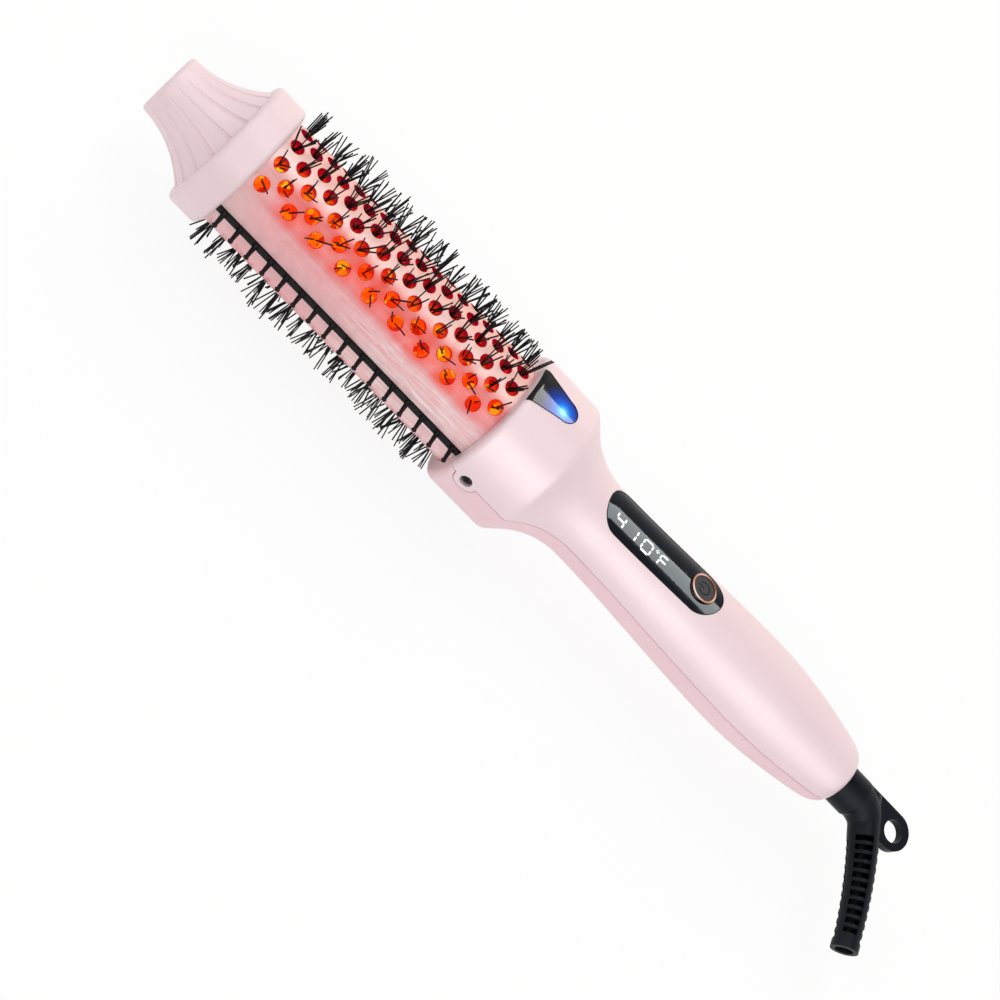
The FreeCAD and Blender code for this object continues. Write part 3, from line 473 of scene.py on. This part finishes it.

# %% [markdown]
# ## Lit cups behind the holes
# Behind every hole is a short clear red cup with a lamp under its floor. Looked at straight on, the bright broken
# floor shows; from the side, only the dark red wall does. So the cups are modelled as real hollows, and much of the
# change from yellow to deep red across the rows comes from their depth. The rest is painted glow: floors and walls
# are painted bright beside one comb and dim towards the other, and the walls are painted brighter near the floor,
# where the lamp lights them. The plate between the cups is a honeycomb of six-sided cells, one round each cup.


# %% Helpers for meshes
def to_object(mesh, name):
    """A finished mesh as an object of the scene."""
    data = bpy.data.meshes.new(name)
    mesh.to_mesh(data)
    mesh.free()
    piece = bpy.data.objects.new(name, data)
    scene.collection.objects.link(piece)
    return piece


def bridge(mesh, low, high):
    """Four-sided faces between two closed rings of points."""
    count = len(low)
    for k in range(count):
        mesh.faces.new((low[k], low[(k + 1) % count], high[(k + 1) % count], high[k]))


print("mesh helpers ready")

# %% Shape of one cell and its cup
plate_radius = 17.6 * mm
cup_rim = 18.85 * mm
cup_floor = 16.4 * mm
cup_radius = 2.32 * mm
cup_wall = 0.06 * mm
facet_ring = 1.15 * mm
facet_lift = 0.3 * mm


def cell_outline():
    """Corners and side middles of a cell in the plate: along the axis and round it."""
    across, along = row_angle * plate_radius, hole_pitch / 2
    middle = (along ** 2 + across ** 2) / 2
    corners = [(middle / along, 0), ((middle - across ** 2) / along, across)]
    ring = [corners[0], corners[1], (-corners[1][0], across), (-corners[0][0], 0), (-corners[1][0], -across),
            (corners[1][0], -across)]
    outline = []
    for k, (u, v) in enumerate(ring):
        nu, nv = ring[(k + 1) % len(ring)]
        outline += [(u, v), ((u + nu) / 2, (v + nv) / 2)]
    return outline


def on_barrel(x, angle, u, v, height):
    """A point at a height over the axis, beside the direction of a hole."""
    out_way = Vector((0, -math.sin(angle), math.cos(angle)))
    side_way = Vector((0, -math.cos(angle), -math.sin(angle)))
    return Vector((x + u, 0, 0)) + side_way * v + out_way * height


print("points round a cell:", len(cell_outline()))

# %% Build the lit plates
cell_weld = 0.02 * mm


def cup_rings(x, angle):
    """Rings of points from the cell's border over the rim to the floor of a cup."""
    outline = cell_outline()
    ways = [math.atan2(v, u) for u, v in outline]
    border = [on_barrel(x, angle + v / plate_radius, u, 0, plate_radius) for u, v in outline]
    inner = cup_radius - cup_wall
    steps = [(cup_radius, plate_radius), (cup_radius, cup_rim), (inner, cup_rim), (inner, plate_radius),
             (inner, cup_floor)]
    rings = [border]
    for radius, height in steps:
        rings.append([on_barrel(x, angle, radius * math.cos(w), radius * math.sin(w), height) for w in ways])
    rings.append([on_barrel(x, angle, facet_ring * math.cos(w), facet_ring * math.sin(w),
                            cup_floor + (facet_lift if k % 2 else 0)) for k, w in enumerate(ways)])
    return rings


def lit_plate(name):
    """The honeycomb plate of one barrel half."""
    mesh = bmesh.new()
    for angle, x in hole_places():
        rings = [[mesh.verts.new(p) for p in ring] for ring in cup_rings(x, angle)]
        for low, high in zip(rings, rings[1:]):
            bridge(mesh, low, high)
        centre = mesh.verts.new(on_barrel(x, angle, 0, 0, cup_floor + facet_lift))
        count = len(rings[-1])
        for k in range(count):
            mesh.faces.new((rings[-1][k], rings[-1][(k + 1) % count], centre))
    bmesh.ops.remove_doubles(mesh, verts=mesh.verts, dist=cell_weld)
    return to_object(mesh, name)


half_turn = Matrix.Rotation(math.pi, 4, "X")
plates = {}
for side in ("front", "back"):
    plates[side] = lit_plate("lit_plate_" + side)
    if side == "back":
        plates[side].data.transform(half_turn)
    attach(plates[side], "brush")
    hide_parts("bristle_carrier_" + side)
print("cups:", 2 * len(list(hole_places())), "faces:", sum(len(p.data.polygons) for p in plates.values()))

# %% Finish the lit plates
facet_scale = 430.0
lit_plastic, tree, shader = new_material("lit_red_plastic")
spot = place_of(tree)
axes = axes_of(tree, spot)
depth = remap(tree, hypotenuse(tree, axes["Y"], axes["Z"]), cup_floor, cup_rim)
facets = add(tree, "ShaderNodeTexVoronoi", {"Vector": spot, "Scale": facet_scale}).outputs["Color"]
facet = add(tree, "ShaderNodeSeparateColor", {0: facets}).outputs[0]
# painted glow: bright floors and walls beside one comb, dim ones towards the other; walls brighter near the lamp
bright_floor_glow = ramp(tree, facet, [(0.0, (0.45, 0.006, 0.0)), (0.35, (0.86, 0.025, 0.0)), (0.68, (1.0, 0.075, 0.0)),
                               (0.88, (1.0, 0.19, 0.001)), (1.0, (1.0, 0.58, 0.01))])
dim_floor_glow = ramp(tree, facet, [(0.0, (0.18, 0.0, 0.004)), (0.5, (0.42, 0.003, 0.004)), (1.0, (0.72, 0.02, 0.002))])
bright_glow_rows = remap(tree, place_group(tree, hole_field, {})["Row"], 0.3, 2.8, smooth=True)
floor_fire = blend_colour(tree, bright_glow_rows, dim_floor_glow, bright_floor_glow)
bright_wall_glow = ramp(tree, depth, [(0.0, (0.85, 0.04, 0.002)), (0.5, (0.62, 0.012, 0.002)), (1.0, (0.4, 0.0, 0.008))])
dim_wall_glow = ramp(tree, depth, [(0.0, (0.4, 0.004, 0.006)), (1.0, (0.22, 0.0, 0.014))])
wall_fire = blend_colour(tree, bright_glow_rows, dim_wall_glow, bright_wall_glow)
fire = blend_colour(tree, remap(tree, depth, 0.13, 0.2), floor_fire, wall_fire)
fill(tree, shader, {"Base Color": blend_colour(tree, 0.85, fire, (0, 0, 0, 1)), "Emission Color": fire,
                    "Emission Strength": 1.0, "Roughness": touched(tree, 0.12, 0.3)["Roughness"],
                    "Specular IOR Level": 0.12})
for plate in plates.values():
    plate.data.materials.append(lit_plastic)
print("lit plates finished")

# %% [markdown]
# ## Bristles
# Each tuft is a bundle of stiff nylon bristles pulled through its cup. A bristle is a thin tapered tube. The tuft is
# folded in its cup, so its bristles part into two clumps that lean away from each other. A seeded random generator
# gives the direction of the fold and the height of each tuft, and the stray, bow and length of each bristle. The
# tufts get thinner towards the smooth strip beside one comb. One solid cone per tuft could not show the light
# between the bristles.

# %% Paths of the bristles
most_bristles = 6
thinned_per_row = 1.0
bristle_steps = 3
root_spread = 0.6 * mm
clump_lean = 2.3 * mm
stray = 1.6 * mm
lowest_tuft, highest_tuft = 25.2 * mm, 27.8 * mm
uneven_tips = 1.7 * mm
bow = 0.15 * mm


def bristle_path(x, angle, chance, lean, height):
    """Points of one bristle, from the floor of the cup to its tip."""
    root = [root_spread * chance.uniform(-1, 1) for _ in range(2)]
    reach = [part + stray * chance.uniform(-1, 1) for part in lean]
    sway = [bow * chance.uniform(-1, 1) for _ in range(2)]
    tip = height - uneven_tips * chance.uniform(0, 1)
    path = []
    for k in range(bristle_steps + 1):
        share = k / bristle_steps
        arch = 4 * share * (1 - share)
        u, v = (root[i] + reach[i] * share + sway[i] * arch for i in range(2))
        path.append(on_barrel(x, angle, u, v, cup_floor + (tip - cup_floor) * share))
    return path


def tuft_paths(x, angle, chance):
    """Paths of the bristles of one tuft, in two clumps, with fewer bristles towards one comb."""
    fold = chance.uniform(0, math.pi)
    height = chance.uniform(lowest_tuft, highest_tuft)
    count = int(most_bristles - thinned_per_row * max(round(angle / row_angle), 0))
    for k in range(count):
        side = clump_lean if k % 2 else -clump_lean
        yield bristle_path(x, angle, chance, (side * math.cos(fold), side * math.sin(fold)), height)


print("bristles of a full tuft:", most_bristles)

# %% Build the bristles
bristle_radius = 0.28 * mm
bristle_taper = 0.15
tube_sides = 4


def tube(mesh, path, thickness, taper=0.0):
    """A thin closed tube along a path, whose radius shrinks by a share on the way."""
    turns = [2 * math.pi * s / tube_sides for s in range(tube_sides)]
    rings = []
    for k, point in enumerate(path):
        ahead = (path[min(k + 1, len(path) - 1)] - path[max(k - 1, 0)]).normalized()
        side = ahead.orthogonal().normalized()
        other = ahead.cross(side)
        radius = thickness * (1.0 - taper * k / (len(path) - 1))
        points = [point + side * radius * math.cos(t) + other * radius * math.sin(t) for t in turns]
        rings.append([mesh.verts.new(p) for p in points])
    for low, high in zip(rings, rings[1:]):
        bridge(mesh, low, high)
    mesh.faces.new(rings[-1])
    mesh.faces.new(rings[0][::-1])


def bristle_field(name, seed):
    """The bristles of one barrel half."""
    chance = random.Random(seed)
    mesh = bmesh.new()
    for angle, x in hole_places():
        for path in tuft_paths(x, angle, chance):
            tube(mesh, path, bristle_radius, bristle_taper)
    return to_object(mesh, name)


bristles = {"front": bristle_field("bristles_front", 11), "back": bristle_field("bristles_back", 12)}
bristles["back"].data.transform(half_turn)
for side, piece in bristles.items():
    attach(piece, "brush")
    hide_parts("bristle_tufts_" + side)
print("bristle faces:", sum(len(piece.data.polygons) for piece in bristles.values()))

# %% Finish bristles and combs
black_nylon = moulded("black_nylon", (0.006, 0.006, 0.007), (0.01, 0.01, 0.011), 0.32, 0.48, grain=4000.0,
                      Specular_IOR_Level=0.12)
for piece in bristles.values():
    piece.data.materials.append(black_nylon)
dress(black_nylon, "comb_left", "comb_right", "bristle_tufts_front", "bristle_tufts_back")
dress(lit_plastic, "bristle_carrier_front", "bristle_carrier_back")
print("black nylon on combs and bristles")

# %% [markdown]
# ## Display lens and its figures
# The lens is a strip of glossy smoked plastic that follows the handle. The figures that shine through it are the lit
# segments of a plain temperature display. Each segment is a six-sided bar that lies just on the lens. A ray cast down
# onto the lens finds the height of each of its corners, so the bars follow the curve of the handle.

# %% Finish the lens
smoked_lens, tree, shader = new_material("smoked_lens")
marks = touched(tree, 0.05, 0.12)
smoke = blend_colour(tree, times(tree, marks["Mask"], 0.3), (0.003, 0.004, 0.007, 1), (0.007, 0.008, 0.011, 1))
fill(tree, shader, {"Base Color": smoke, "Roughness": marks["Roughness"], "Specular IOR Level": 0.1,
                    "Specular Tint": (0.88, 0.97, 1.0, 1)})
dress(smoked_lens, "display_lens")
print("smoked lens finished")

# %% Shape of a lit segment
segment_gap = 0.14 * mm
segment_lift = 0.03 * mm
above_handle = 40.0 * mm
lens_data = nodes_of_frame["display_lens"].data
lens_tree = BVHTree.FromPolygons([v.co for v in lens_data.vertices], [p.vertices for p in lens_data.polygons])


def on_lens(x, y):
    """The point of the lens below a place, lifted a little."""
    hit = lens_tree.ray_cast(Vector((x, y, above_handle)), Vector((0, 0, -1)))[0]
    return hit + Vector((0, 0, segment_lift))


def bar(mesh, start, end, width):
    """A flat six-sided bar on the lens between two places."""
    run = (Vector(end) - Vector(start)).normalized()
    side = Vector((-run.y, run.x)) * width / 2
    first, last = Vector(start) + run * segment_gap, Vector(end) - run * segment_gap
    corners = [first, first + run * width / 2 - side, last - run * width / 2 - side, last,
               last - run * width / 2 + side, first + run * width / 2 + side]
    mesh.faces.new([mesh.verts.new(on_lens(c.x, c.y)) for c in corners])


print("faces of the lens:", len(lens_data.polygons))

# %% Build the lit figures
figure_low, figure_high = -5.3 * mm, -1.8 * mm
degree_low = -3.4 * mm
segment_width, degree_width = 0.56 * mm, 0.36 * mm
segments_of = {"0": "abcdef", "1": "bc", "4": "bcfg", "F": "aefg", "degree": "abfg"}


def figure(mesh, sign, x0, x1, low=figure_low, high=figure_high, width=segment_width):
    """One figure of lit segments between two places along the lens."""
    middle = (low + high) / 2
    ends = {"a": ((x0, high), (x1, high)), "b": ((x1, high), (x1, middle)), "c": ((x1, middle), (x1, low)),
            "d": ((x1, low), (x0, low)), "e": ((x0, low), (x0, middle)), "f": ((x0, middle), (x0, high)),
            "g": ((x0, middle), (x1, middle))}
    for letter in segments_of[sign]:
        bar(mesh, *ends[letter], width)


mesh = bmesh.new()
figure(mesh, "4", 176.1 * mm, 179.1 * mm)
figure(mesh, "1", 181.6 * mm, 184.4 * mm)
figure(mesh, "0", 187.2 * mm, 190.6 * mm)
figure(mesh, "degree", 192.0 * mm, 192.9 * mm, low=degree_low, width=degree_width)
figure(mesh, "F", 194.1 * mm, 196.8 * mm)
figures = to_object(mesh, "display_figures")
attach(figures, "brush")
lit_white = moulded("lit_white_segments", (0.8, 0.82, 0.8), (0.7, 0.72, 0.7), 0.3, 0.4,
                    Emission_Color=(0.86, 0.93, 0.88, 1), Emission_Strength=0.9)
figures.data.materials.append(lit_white)
print("segments:", len(figures.data.polygons))

# %% [markdown]
# ## Ion window
# A tongue of the same smoked gloss sits on the collar with a blue lamp below its round end. Its light is seen through
# the dark plastic as a pale core with a blue halo, so the glow is painted by distance from the lamp.

# %% Finish the window
lamp_spot = (140.8 * mm, -1.6 * mm, 24.2 * mm)
halo_reach = 8.0 * mm
ion_gloss, tree, shader = new_material("ion_window_gloss")
away = add(tree, "ShaderNodeVectorMath", {0: place_of(tree), 1: lamp_spot}, operation="DISTANCE").outputs["Value"]
halo = ramp(tree, calc(tree, "DIVIDE", away, halo_reach),
            [(0.0, (0.45, 0.95, 1.0)), (0.1, (0.2, 0.8, 1.0)), (0.2, (0.02, 0.4, 0.95)), (0.34, (0.0, 0.13, 0.8)),
             (0.6, (0.0, 0.03, 0.32)), (1.0, (0.0, 0.0, 0.0))])
fill(tree, shader, {"Base Color": (0.008, 0.008, 0.009, 1), "Emission Color": halo, "Emission Strength": 1.0,
                    "Roughness": touched(tree, 0.05, 0.12)["Roughness"], "Specular IOR Level": 0.1})
dress(ion_gloss, "ion_window")
print("ion window finished")

# %% [markdown]
# Window and lens sit in black frames, which show as thin lines round them. A frame is a row of thin tubes along the
# border of the solid's outer face. The border is found in the mesh: an edge where the faces bend sharply and one of
# them looks away from the axis.

# %% Frame the window and the lens
frame_radius = 0.16 * mm
border_weld = 0.002 * mm
border_bend = math.radians(40)
outward_least = 0.6


def outer_border(name):
    """Ends of the sharp edges round the outer face of a solid."""
    mesh = bmesh.new()
    mesh.from_mesh(nodes_of_frame[name].data)
    bmesh.ops.remove_doubles(mesh, verts=mesh.verts, dist=border_weld)
    mesh.normal_update()
    border = []
    for edge in mesh.edges:
        ends = [v.co.copy() for v in edge.verts]
        outward = Vector((0, ends[0].y, ends[0].z)).normalized()
        looks_out = any(face.normal.dot(outward) > outward_least for face in edge.link_faces)
        if looks_out and len(edge.link_faces) == 2 and edge.calc_face_angle() > border_bend:
            border.append(ends)
    mesh.free()
    return border


mesh = bmesh.new()
for name in ("ion_window", "display_lens"):
    for ends in outer_border(name):
        tube(mesh, ends, frame_radius)
frames = to_object(mesh, "window_frames")
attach(frames, "brush")
frames.data.materials.append(black_nylon)
print("frame faces:", len(frames.data.polygons))

# %% [markdown]
# ## Button and ring
# A rose gold ring frames a dark grey push button. Light and dark fans are painted into the ring's colour by the angle
# round it: painted highlights and painted dark reflections. The button carries the usual stand-by sign, an open
# circle with a bar, printed in black. Print has no thickness to speak of, so the sign is a flat mesh just above the
# button, and it moves with it.

# %% Finish button and ring
highlight_turn = math.radians(120)
highlight_count = 3.0
highlight_range = 1.6
rose_gold, tree, shader = new_material("rose_gold")
ring_low, ring_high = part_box("button_ring")
ring_middle = tuple((ring_low + ring_high) / 2)
arm = add(tree, "ShaderNodeVectorMath", {0: place_of(tree), 1: ring_middle}, operation="SUBTRACT").outputs["Vector"]
axes = axes_of(tree, arm)
ring_angle = calc(tree, "ARCTAN2", axes["Y"], axes["X"])
# painted highlights: bright and dark fans by the angle round the ring
painted_highlight = calc(tree, "ADD", calc(tree, "COSINE", calc(tree, "ADD", ring_angle, highlight_turn)),
           calc(tree, "COSINE", times(tree, ring_angle, highlight_count)))
ring_colour_with_highlights = ramp(tree, remap(tree, painted_highlight, -highlight_range, highlight_range),
            [(0.0, (0.3, 0.11, 0.07)), (0.5, (0.66, 0.33, 0.23)), (1.0, (0.98, 0.76, 0.64))])
fill(tree, shader, {"Base Color": ring_colour_with_highlights, "Metallic": 1.0, "Roughness": touched(tree, 0.12, 0.2)["Roughness"]})
dress(rose_gold, "button_ring")
button_grey = moulded("button_grey", (0.045, 0.044, 0.045), (0.055, 0.054, 0.055), 0.4, 0.55, grain=3500.0,
                      Specular_IOR_Level=0.25)
dress(button_grey, "power_button")
print("button and ring finished")

# %% Build the stand-by sign
sign_lift = 0.02 * mm
sign_radius = 2.0 * mm
sign_width = 0.42 * mm
sign_foot = 0.2 * mm
sign_gap = math.radians(70)
sign_steps = 28
button_low, button_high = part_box("power_button")
button_middle = (button_low + button_high) / 2


def sign_point(angle, radius):
    """A point of the sign, whose gap and bar face the display."""
    return Vector((button_middle.x - radius * math.cos(angle), button_middle.y + radius * math.sin(angle),
                   button_high.z + sign_lift))


mesh = bmesh.new()
turns = [sign_gap / 2 + (2 * math.pi - sign_gap) * k / sign_steps for k in range(sign_steps + 1)]
outer = [mesh.verts.new(sign_point(t, sign_radius + sign_width / 2)) for t in turns]
inner = [mesh.verts.new(sign_point(t, sign_radius - sign_width / 2)) for t in turns]
for k in range(sign_steps):
    mesh.faces.new((outer[k + 1], outer[k], inner[k], inner[k + 1]))
foot, top = sign_point(0, sign_foot), sign_point(0, sign_radius + sign_width)
half = Vector((0, sign_width / 2, 0))
mesh.faces.new([mesh.verts.new(p) for p in (foot - half, foot + half, top + half, top - half)])
sign = to_object(mesh, "standby_sign")
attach(sign, "button")
sign_print = moulded("sign_print", (0.008, 0.008, 0.008), (0.012, 0.012, 0.012), 0.4, 0.5, Specular_IOR_Level=0.15)
sign.data.materials.append(sign_print)
print("sign faces:", len(sign.data.polygons))

# %% [markdown]
# ## Collar screws
# A black screw with a cross recess sits in each side of the collar. The recess is cut as real geometry: the cross
# outline is part of the head's top face and its middle is pushed in.

# %% Shape of a screw
head_radius, head_height = 1.8 * mm, 1.2 * mm
head_round = 0.35 * mm
head_steps = 24
shank_radius, shank_length = 1.1 * mm, 9.0 * mm
cross_arm, cross_half = 1.15 * mm, 0.28 * mm
cross_depth = 0.6 * mm
cross_narrowing = 0.7


def screw_ring(mesh, radius, height):
    """A ring of points round the axis of a screw."""
    turns = [2 * math.pi * (k + 0.5) / head_steps for k in range(head_steps)]
    return [mesh.verts.new((radius * math.cos(t), radius * math.sin(t), height)) for t in turns]


def cross_outline():
    """Corners of the cross in the head."""
    quarter = [(cross_arm, -cross_half), (cross_arm, cross_half), (cross_half, cross_half)]
    corners = []
    for k in range(4):
        c, s = round(math.cos(k * math.pi / 2)), round(math.sin(k * math.pi / 2))
        corners += [(c * x - s * y, s * x + c * y) for x, y in quarter]
    return corners


def screw_mesh():
    """A screw along Z with the top of its head at 0."""
    mesh = bmesh.new()
    profile = [(shank_radius, -shank_length), (shank_radius, -head_height), (head_radius, -head_height),
               (head_radius, -head_round), (head_radius - head_round, 0)]
    rings = [screw_ring(mesh, radius, height) for radius, height in profile]
    for low, high in zip(rings, rings[1:]):
        bridge(mesh, low, high)
    mesh.faces.new(rings[0][::-1])
    cross = [mesh.verts.new((x, y, 0)) for x, y in cross_outline()]
    edges = [mesh.edges.new((cross[k], cross[(k + 1) % len(cross)])) for k in range(len(cross))]
    border = [mesh.edges.get((rings[-1][k], rings[-1][(k + 1) % head_steps])) for k in range(head_steps)]
    bmesh.ops.triangle_fill(mesh, edges=edges + border, use_beauty=True, normal=(0, 0, 1))
    floor = [mesh.verts.new((v.co.x * cross_narrowing, v.co.y * cross_narrowing, -cross_depth)) for v in cross]
    bridge(mesh, cross, floor)
    mesh.faces.new(floor)
    bmesh.ops.recalc_face_normals(mesh, faces=mesh.faces)
    return mesh


print("corners of the cross:", len(cross_outline()))

# %% Build the screws
screws_low, screws_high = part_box("collar_screws")
screw_x = (screws_low.x + screws_high.x) / 2
joined = bmesh.new()
for side, depth in ((-1, screws_low.y), (1, screws_high.y)):
    single = bpy.data.meshes.new("screw")
    one = screw_mesh()
    one.transform(Matrix.Translation((screw_x, depth, 0)) @ Matrix.Rotation(-side * math.pi / 2, 4, "X"))
    one.to_mesh(single)
    one.free()
    joined.from_mesh(single)
    bpy.data.meshes.remove(single)
screws = to_object(joined, "cross_screws")
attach(screws, "brush")
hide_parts("collar_screws")
black_steel = moulded("black_steel", (0.02, 0.02, 0.021), (0.03, 0.03, 0.03), 0.28, 0.45, grain=4200.0, Metallic=0.6)
screws.data.materials.append(black_steel)
dress(black_steel, "collar_screws")
print("screw faces:", len(screws.data.polygons))

# %% [markdown]
# ## Rubber boot and sleeve
# The turning cord boot and its slotted sleeve are moulded from black rubber, a little bluer than the nylon and with a
# coarser grain.

# %% Finish the rubber
soft_rubber = moulded("soft_rubber", (0.004, 0.006, 0.01), (0.007, 0.009, 0.013), 0.3, 0.45, grain=2200.0,
                      lift=0.02 * mm, Specular_IOR_Level=0.1)
dress(soft_rubber, "cord_boot", "cord_sleeve")
print("rubber on boot and sleeve")

# %% [markdown]
# ## Pieces inside
# The inner pieces show only where a hole or slot lets one look in, or when someone opens the model. They still get
# finishes of their own: aluminium, ceramic, board, brass and covered wire.

# %% Finish the inner pieces
aluminium = moulded("aluminium", (0.78, 0.79, 0.8), (0.7, 0.71, 0.73), 0.3, 0.45, Metallic=1.0)
dress(aluminium, "heat_spreader_left", "heat_spreader_right")
dress(moulded("ceramic", (0.82, 0.8, 0.75), (0.76, 0.74, 0.69), 0.5, 0.7), "ceramic_heater")
dress(moulded("insulator", (0.07, 0.065, 0.06), (0.09, 0.085, 0.08), 0.5, 0.65),
      "tip_plug", "barrel_socket", "terminal_block", "swivel_hub")
dress(moulded("board_green", (0.03, 0.16, 0.07), (0.025, 0.13, 0.055), 0.35, 0.5),
      "control_board", "glow_strip_front", "glow_strip_back")
dress(moulded("module_black", (0.02, 0.02, 0.02), (0.03, 0.03, 0.03), 0.4, 0.55),
      "display_module", "ion_generator", "tact_switch", "switch_plunger")
steel = moulded("steel", (0.6, 0.6, 0.6), (0.52, 0.52, 0.53), 0.25, 0.4, Metallic=1.0)
dress(steel, "tie_screws", "ion_emitter", "thermistor", "thermal_fuse")
brass = moulded("brass", (0.75, 0.55, 0.24), (0.68, 0.48, 0.2), 0.22, 0.36, Metallic=1.0)
dress(brass, "slip_rings", "contact_blades")
dress(moulded("lead_cover", (0.5, 0.03, 0.03), (0.42, 0.025, 0.025), 0.45, 0.6), "heater_leads", "power_leads")
dress(moulded("blue_lamp", (0.1, 0.3, 0.9), (0.08, 0.25, 0.8), 0.15, 0.25), "ion_lamp")
print("inner pieces finished")

# %% [markdown]
# ## Floor, light and background
# The brush lies on a white floor in an even studio. Lamps and world give about the light under which a colour looks
# as it is written. The floor is seen whiter than it is lit, but near the brush its own shading still carries the
# shadow. Farther off it turns into the white of the world, so no edge of the floor shows.


# %% What is seen and what only lights
def seen(tree):
    """1 for rays that look, straight on or in gloss or through clear plastic, and 0 for rays that gather light."""
    path_of_light = add(tree, "ShaderNodeLightPath").outputs
    return calc(tree, "MAXIMUM", path_of_light["Is Camera Ray"],
                calc(tree, "MAXIMUM", path_of_light["Is Glossy Ray"], path_of_light["Is Transmission Ray"]))


def glowing(tree, strength):
    """A white glow, as a shader output."""
    return add(tree, "ShaderNodeEmission", {"Color": (1, 1, 1, 1), "Strength": strength}).outputs[0]


print("helpers of the studio ready")

# %% Build the floor
floor_size = 6.0
floor_middle = 150.0 * mm
floor_gap = 0.1 * mm
shadow_ends, white_starts = 0.2, 0.8
white_near_brush = 0.9
mesh = bmesh.new()
bmesh.ops.create_grid(mesh, x_segments=1, y_segments=1, size=floor_size / 2)
floor = to_object(mesh, "studio_floor")
floor.location = (floor_middle, 0, cad_box[0].z - floor_gap)
floor_white, tree, shader = new_material("floor_white")
fill(tree, shader, {"Base Color": (0.9, 0.9, 0.9, 1), "Roughness": 0.9})
away = add(tree, "ShaderNodeVectorMath", {0: place_of(tree)}, operation="LENGTH").outputs["Value"]
share = times(tree, seen(tree), remap(tree, away, shadow_ends, white_starts, white_near_brush, 1.0))
mixed = add(tree, "ShaderNodeMixShader", {0: share, 1: shader.outputs[0], 2: glowing(tree, 1.0)}).outputs[0]
fill(tree, tree.nodes["Material Output"], {"Surface": mixed})
floor.data.materials.append(floor_white)
print("floor at", round(floor.location.z, 4))

# %% Light the world
world_light = 0.46
world = bpy.data.worlds.new("studio")
scene.world = world
world.use_nodes = True
tree = world.node_tree
looked_at = seen(tree)
fill(tree, tree.nodes["Background"], {
    "Color": blend_colour(tree, looked_at, (1.0, 0.94, 0.95, 1), (1, 1, 1, 1)),
    "Strength": remap(tree, looked_at, 0.0, 1.0, world_light, 1.0)})
print("world ready")


# %% Place the lamps
def aimed(place, target):
    """The matrix of a lamp or card that stands at a place and faces a target."""
    way = Vector(target) - Vector(place)
    return Matrix.Translation(place) @ way.to_track_quat("-Z", "Y").to_matrix().to_4x4()


def softbox(name, place, target, width, length, power, colour=(1, 1, 1)):
    """A rectangular area lamp that faces a target."""
    lamp = bpy.data.lights.new(name, "AREA")
    lamp.shape = "RECTANGLE"
    lamp.size, lamp.size_y = width, length
    lamp.energy = power
    lamp.color = colour
    box = bpy.data.objects.new(name, lamp)
    scene.collection.objects.link(box)
    box.matrix_world = aimed(place, target)
    return box


softbox("front_softbox", (0.35, -0.85, 0.52), (0.17, 0, 0), width=1.1, length=0.5, power=3.8)
softbox("tip_softbox", (-0.6, 0.05, 0.6), (0.02, 0, 0), width=0.4, length=0.4, power=1.0)
softbox("overhead_softbox", (0.05, 0.2, 0.95), (0.12, 0, 0), width=0.6, length=0.9, power=3.0)
warm_fill = softbox("warm_fill", (0.25, 0.95, 0.45), (0.17, 0, 0), width=0.7, length=0.9, power=4.4,
                    colour=(1.0, 0.82, 0.68))
warm_fill.visible_glossy = False

# %% [markdown]
# Gloss shows the studio as a mirror does. Two bright cards that only reflections can see draw the long highlights
# without adding light to the rest: a card above the brush draws the grey band on the lens and the window, and a card
# low in front draws the pale band along the satin front shell and a faint sheen on the rubber. Light linking tells
# each card which pieces it shines on.


# %% Hang the reflection cards
def reflection_card(name, place, target, width, length, strength, mirrors):
    """A glowing card, seen only in the gloss of the named solids."""
    mesh = bmesh.new()
    bmesh.ops.create_grid(mesh, x_segments=1, y_segments=1, size=0.5)
    bmesh.ops.scale(mesh, vec=(length, width, 1), verts=mesh.verts)
    card = to_object(mesh, name)
    card.matrix_world = aimed(place, target)
    card.visible_camera = card.visible_diffuse = card.visible_shadow = card.visible_transmission = False
    card.light_linking.receiver_collection = bpy.data.collections.new(name + "_mirrors")
    for mirror in mirrors:
        card.light_linking.receiver_collection.objects.link(nodes_of_frame[mirror])
    light, tree, _ = new_material(name + "_light")
    fill(tree, tree.nodes["Material Output"], {"Surface": glowing(tree, strength)})
    card.data.materials.append(light)


reflection_card("lens_card", (0.42, 0.3, 0.86), (0.18, 0, 0), width=0.5, length=1.2, strength=29.0,
                mirrors=("display_lens", "ion_window"))
reflection_card("shell_card", (0.5, -0.88, 0.3), (0.25, 0, 0), width=0.75, length=2.4, strength=2.8,
                mirrors=("front_shell", "cord_boot", "cord_sleeve"))
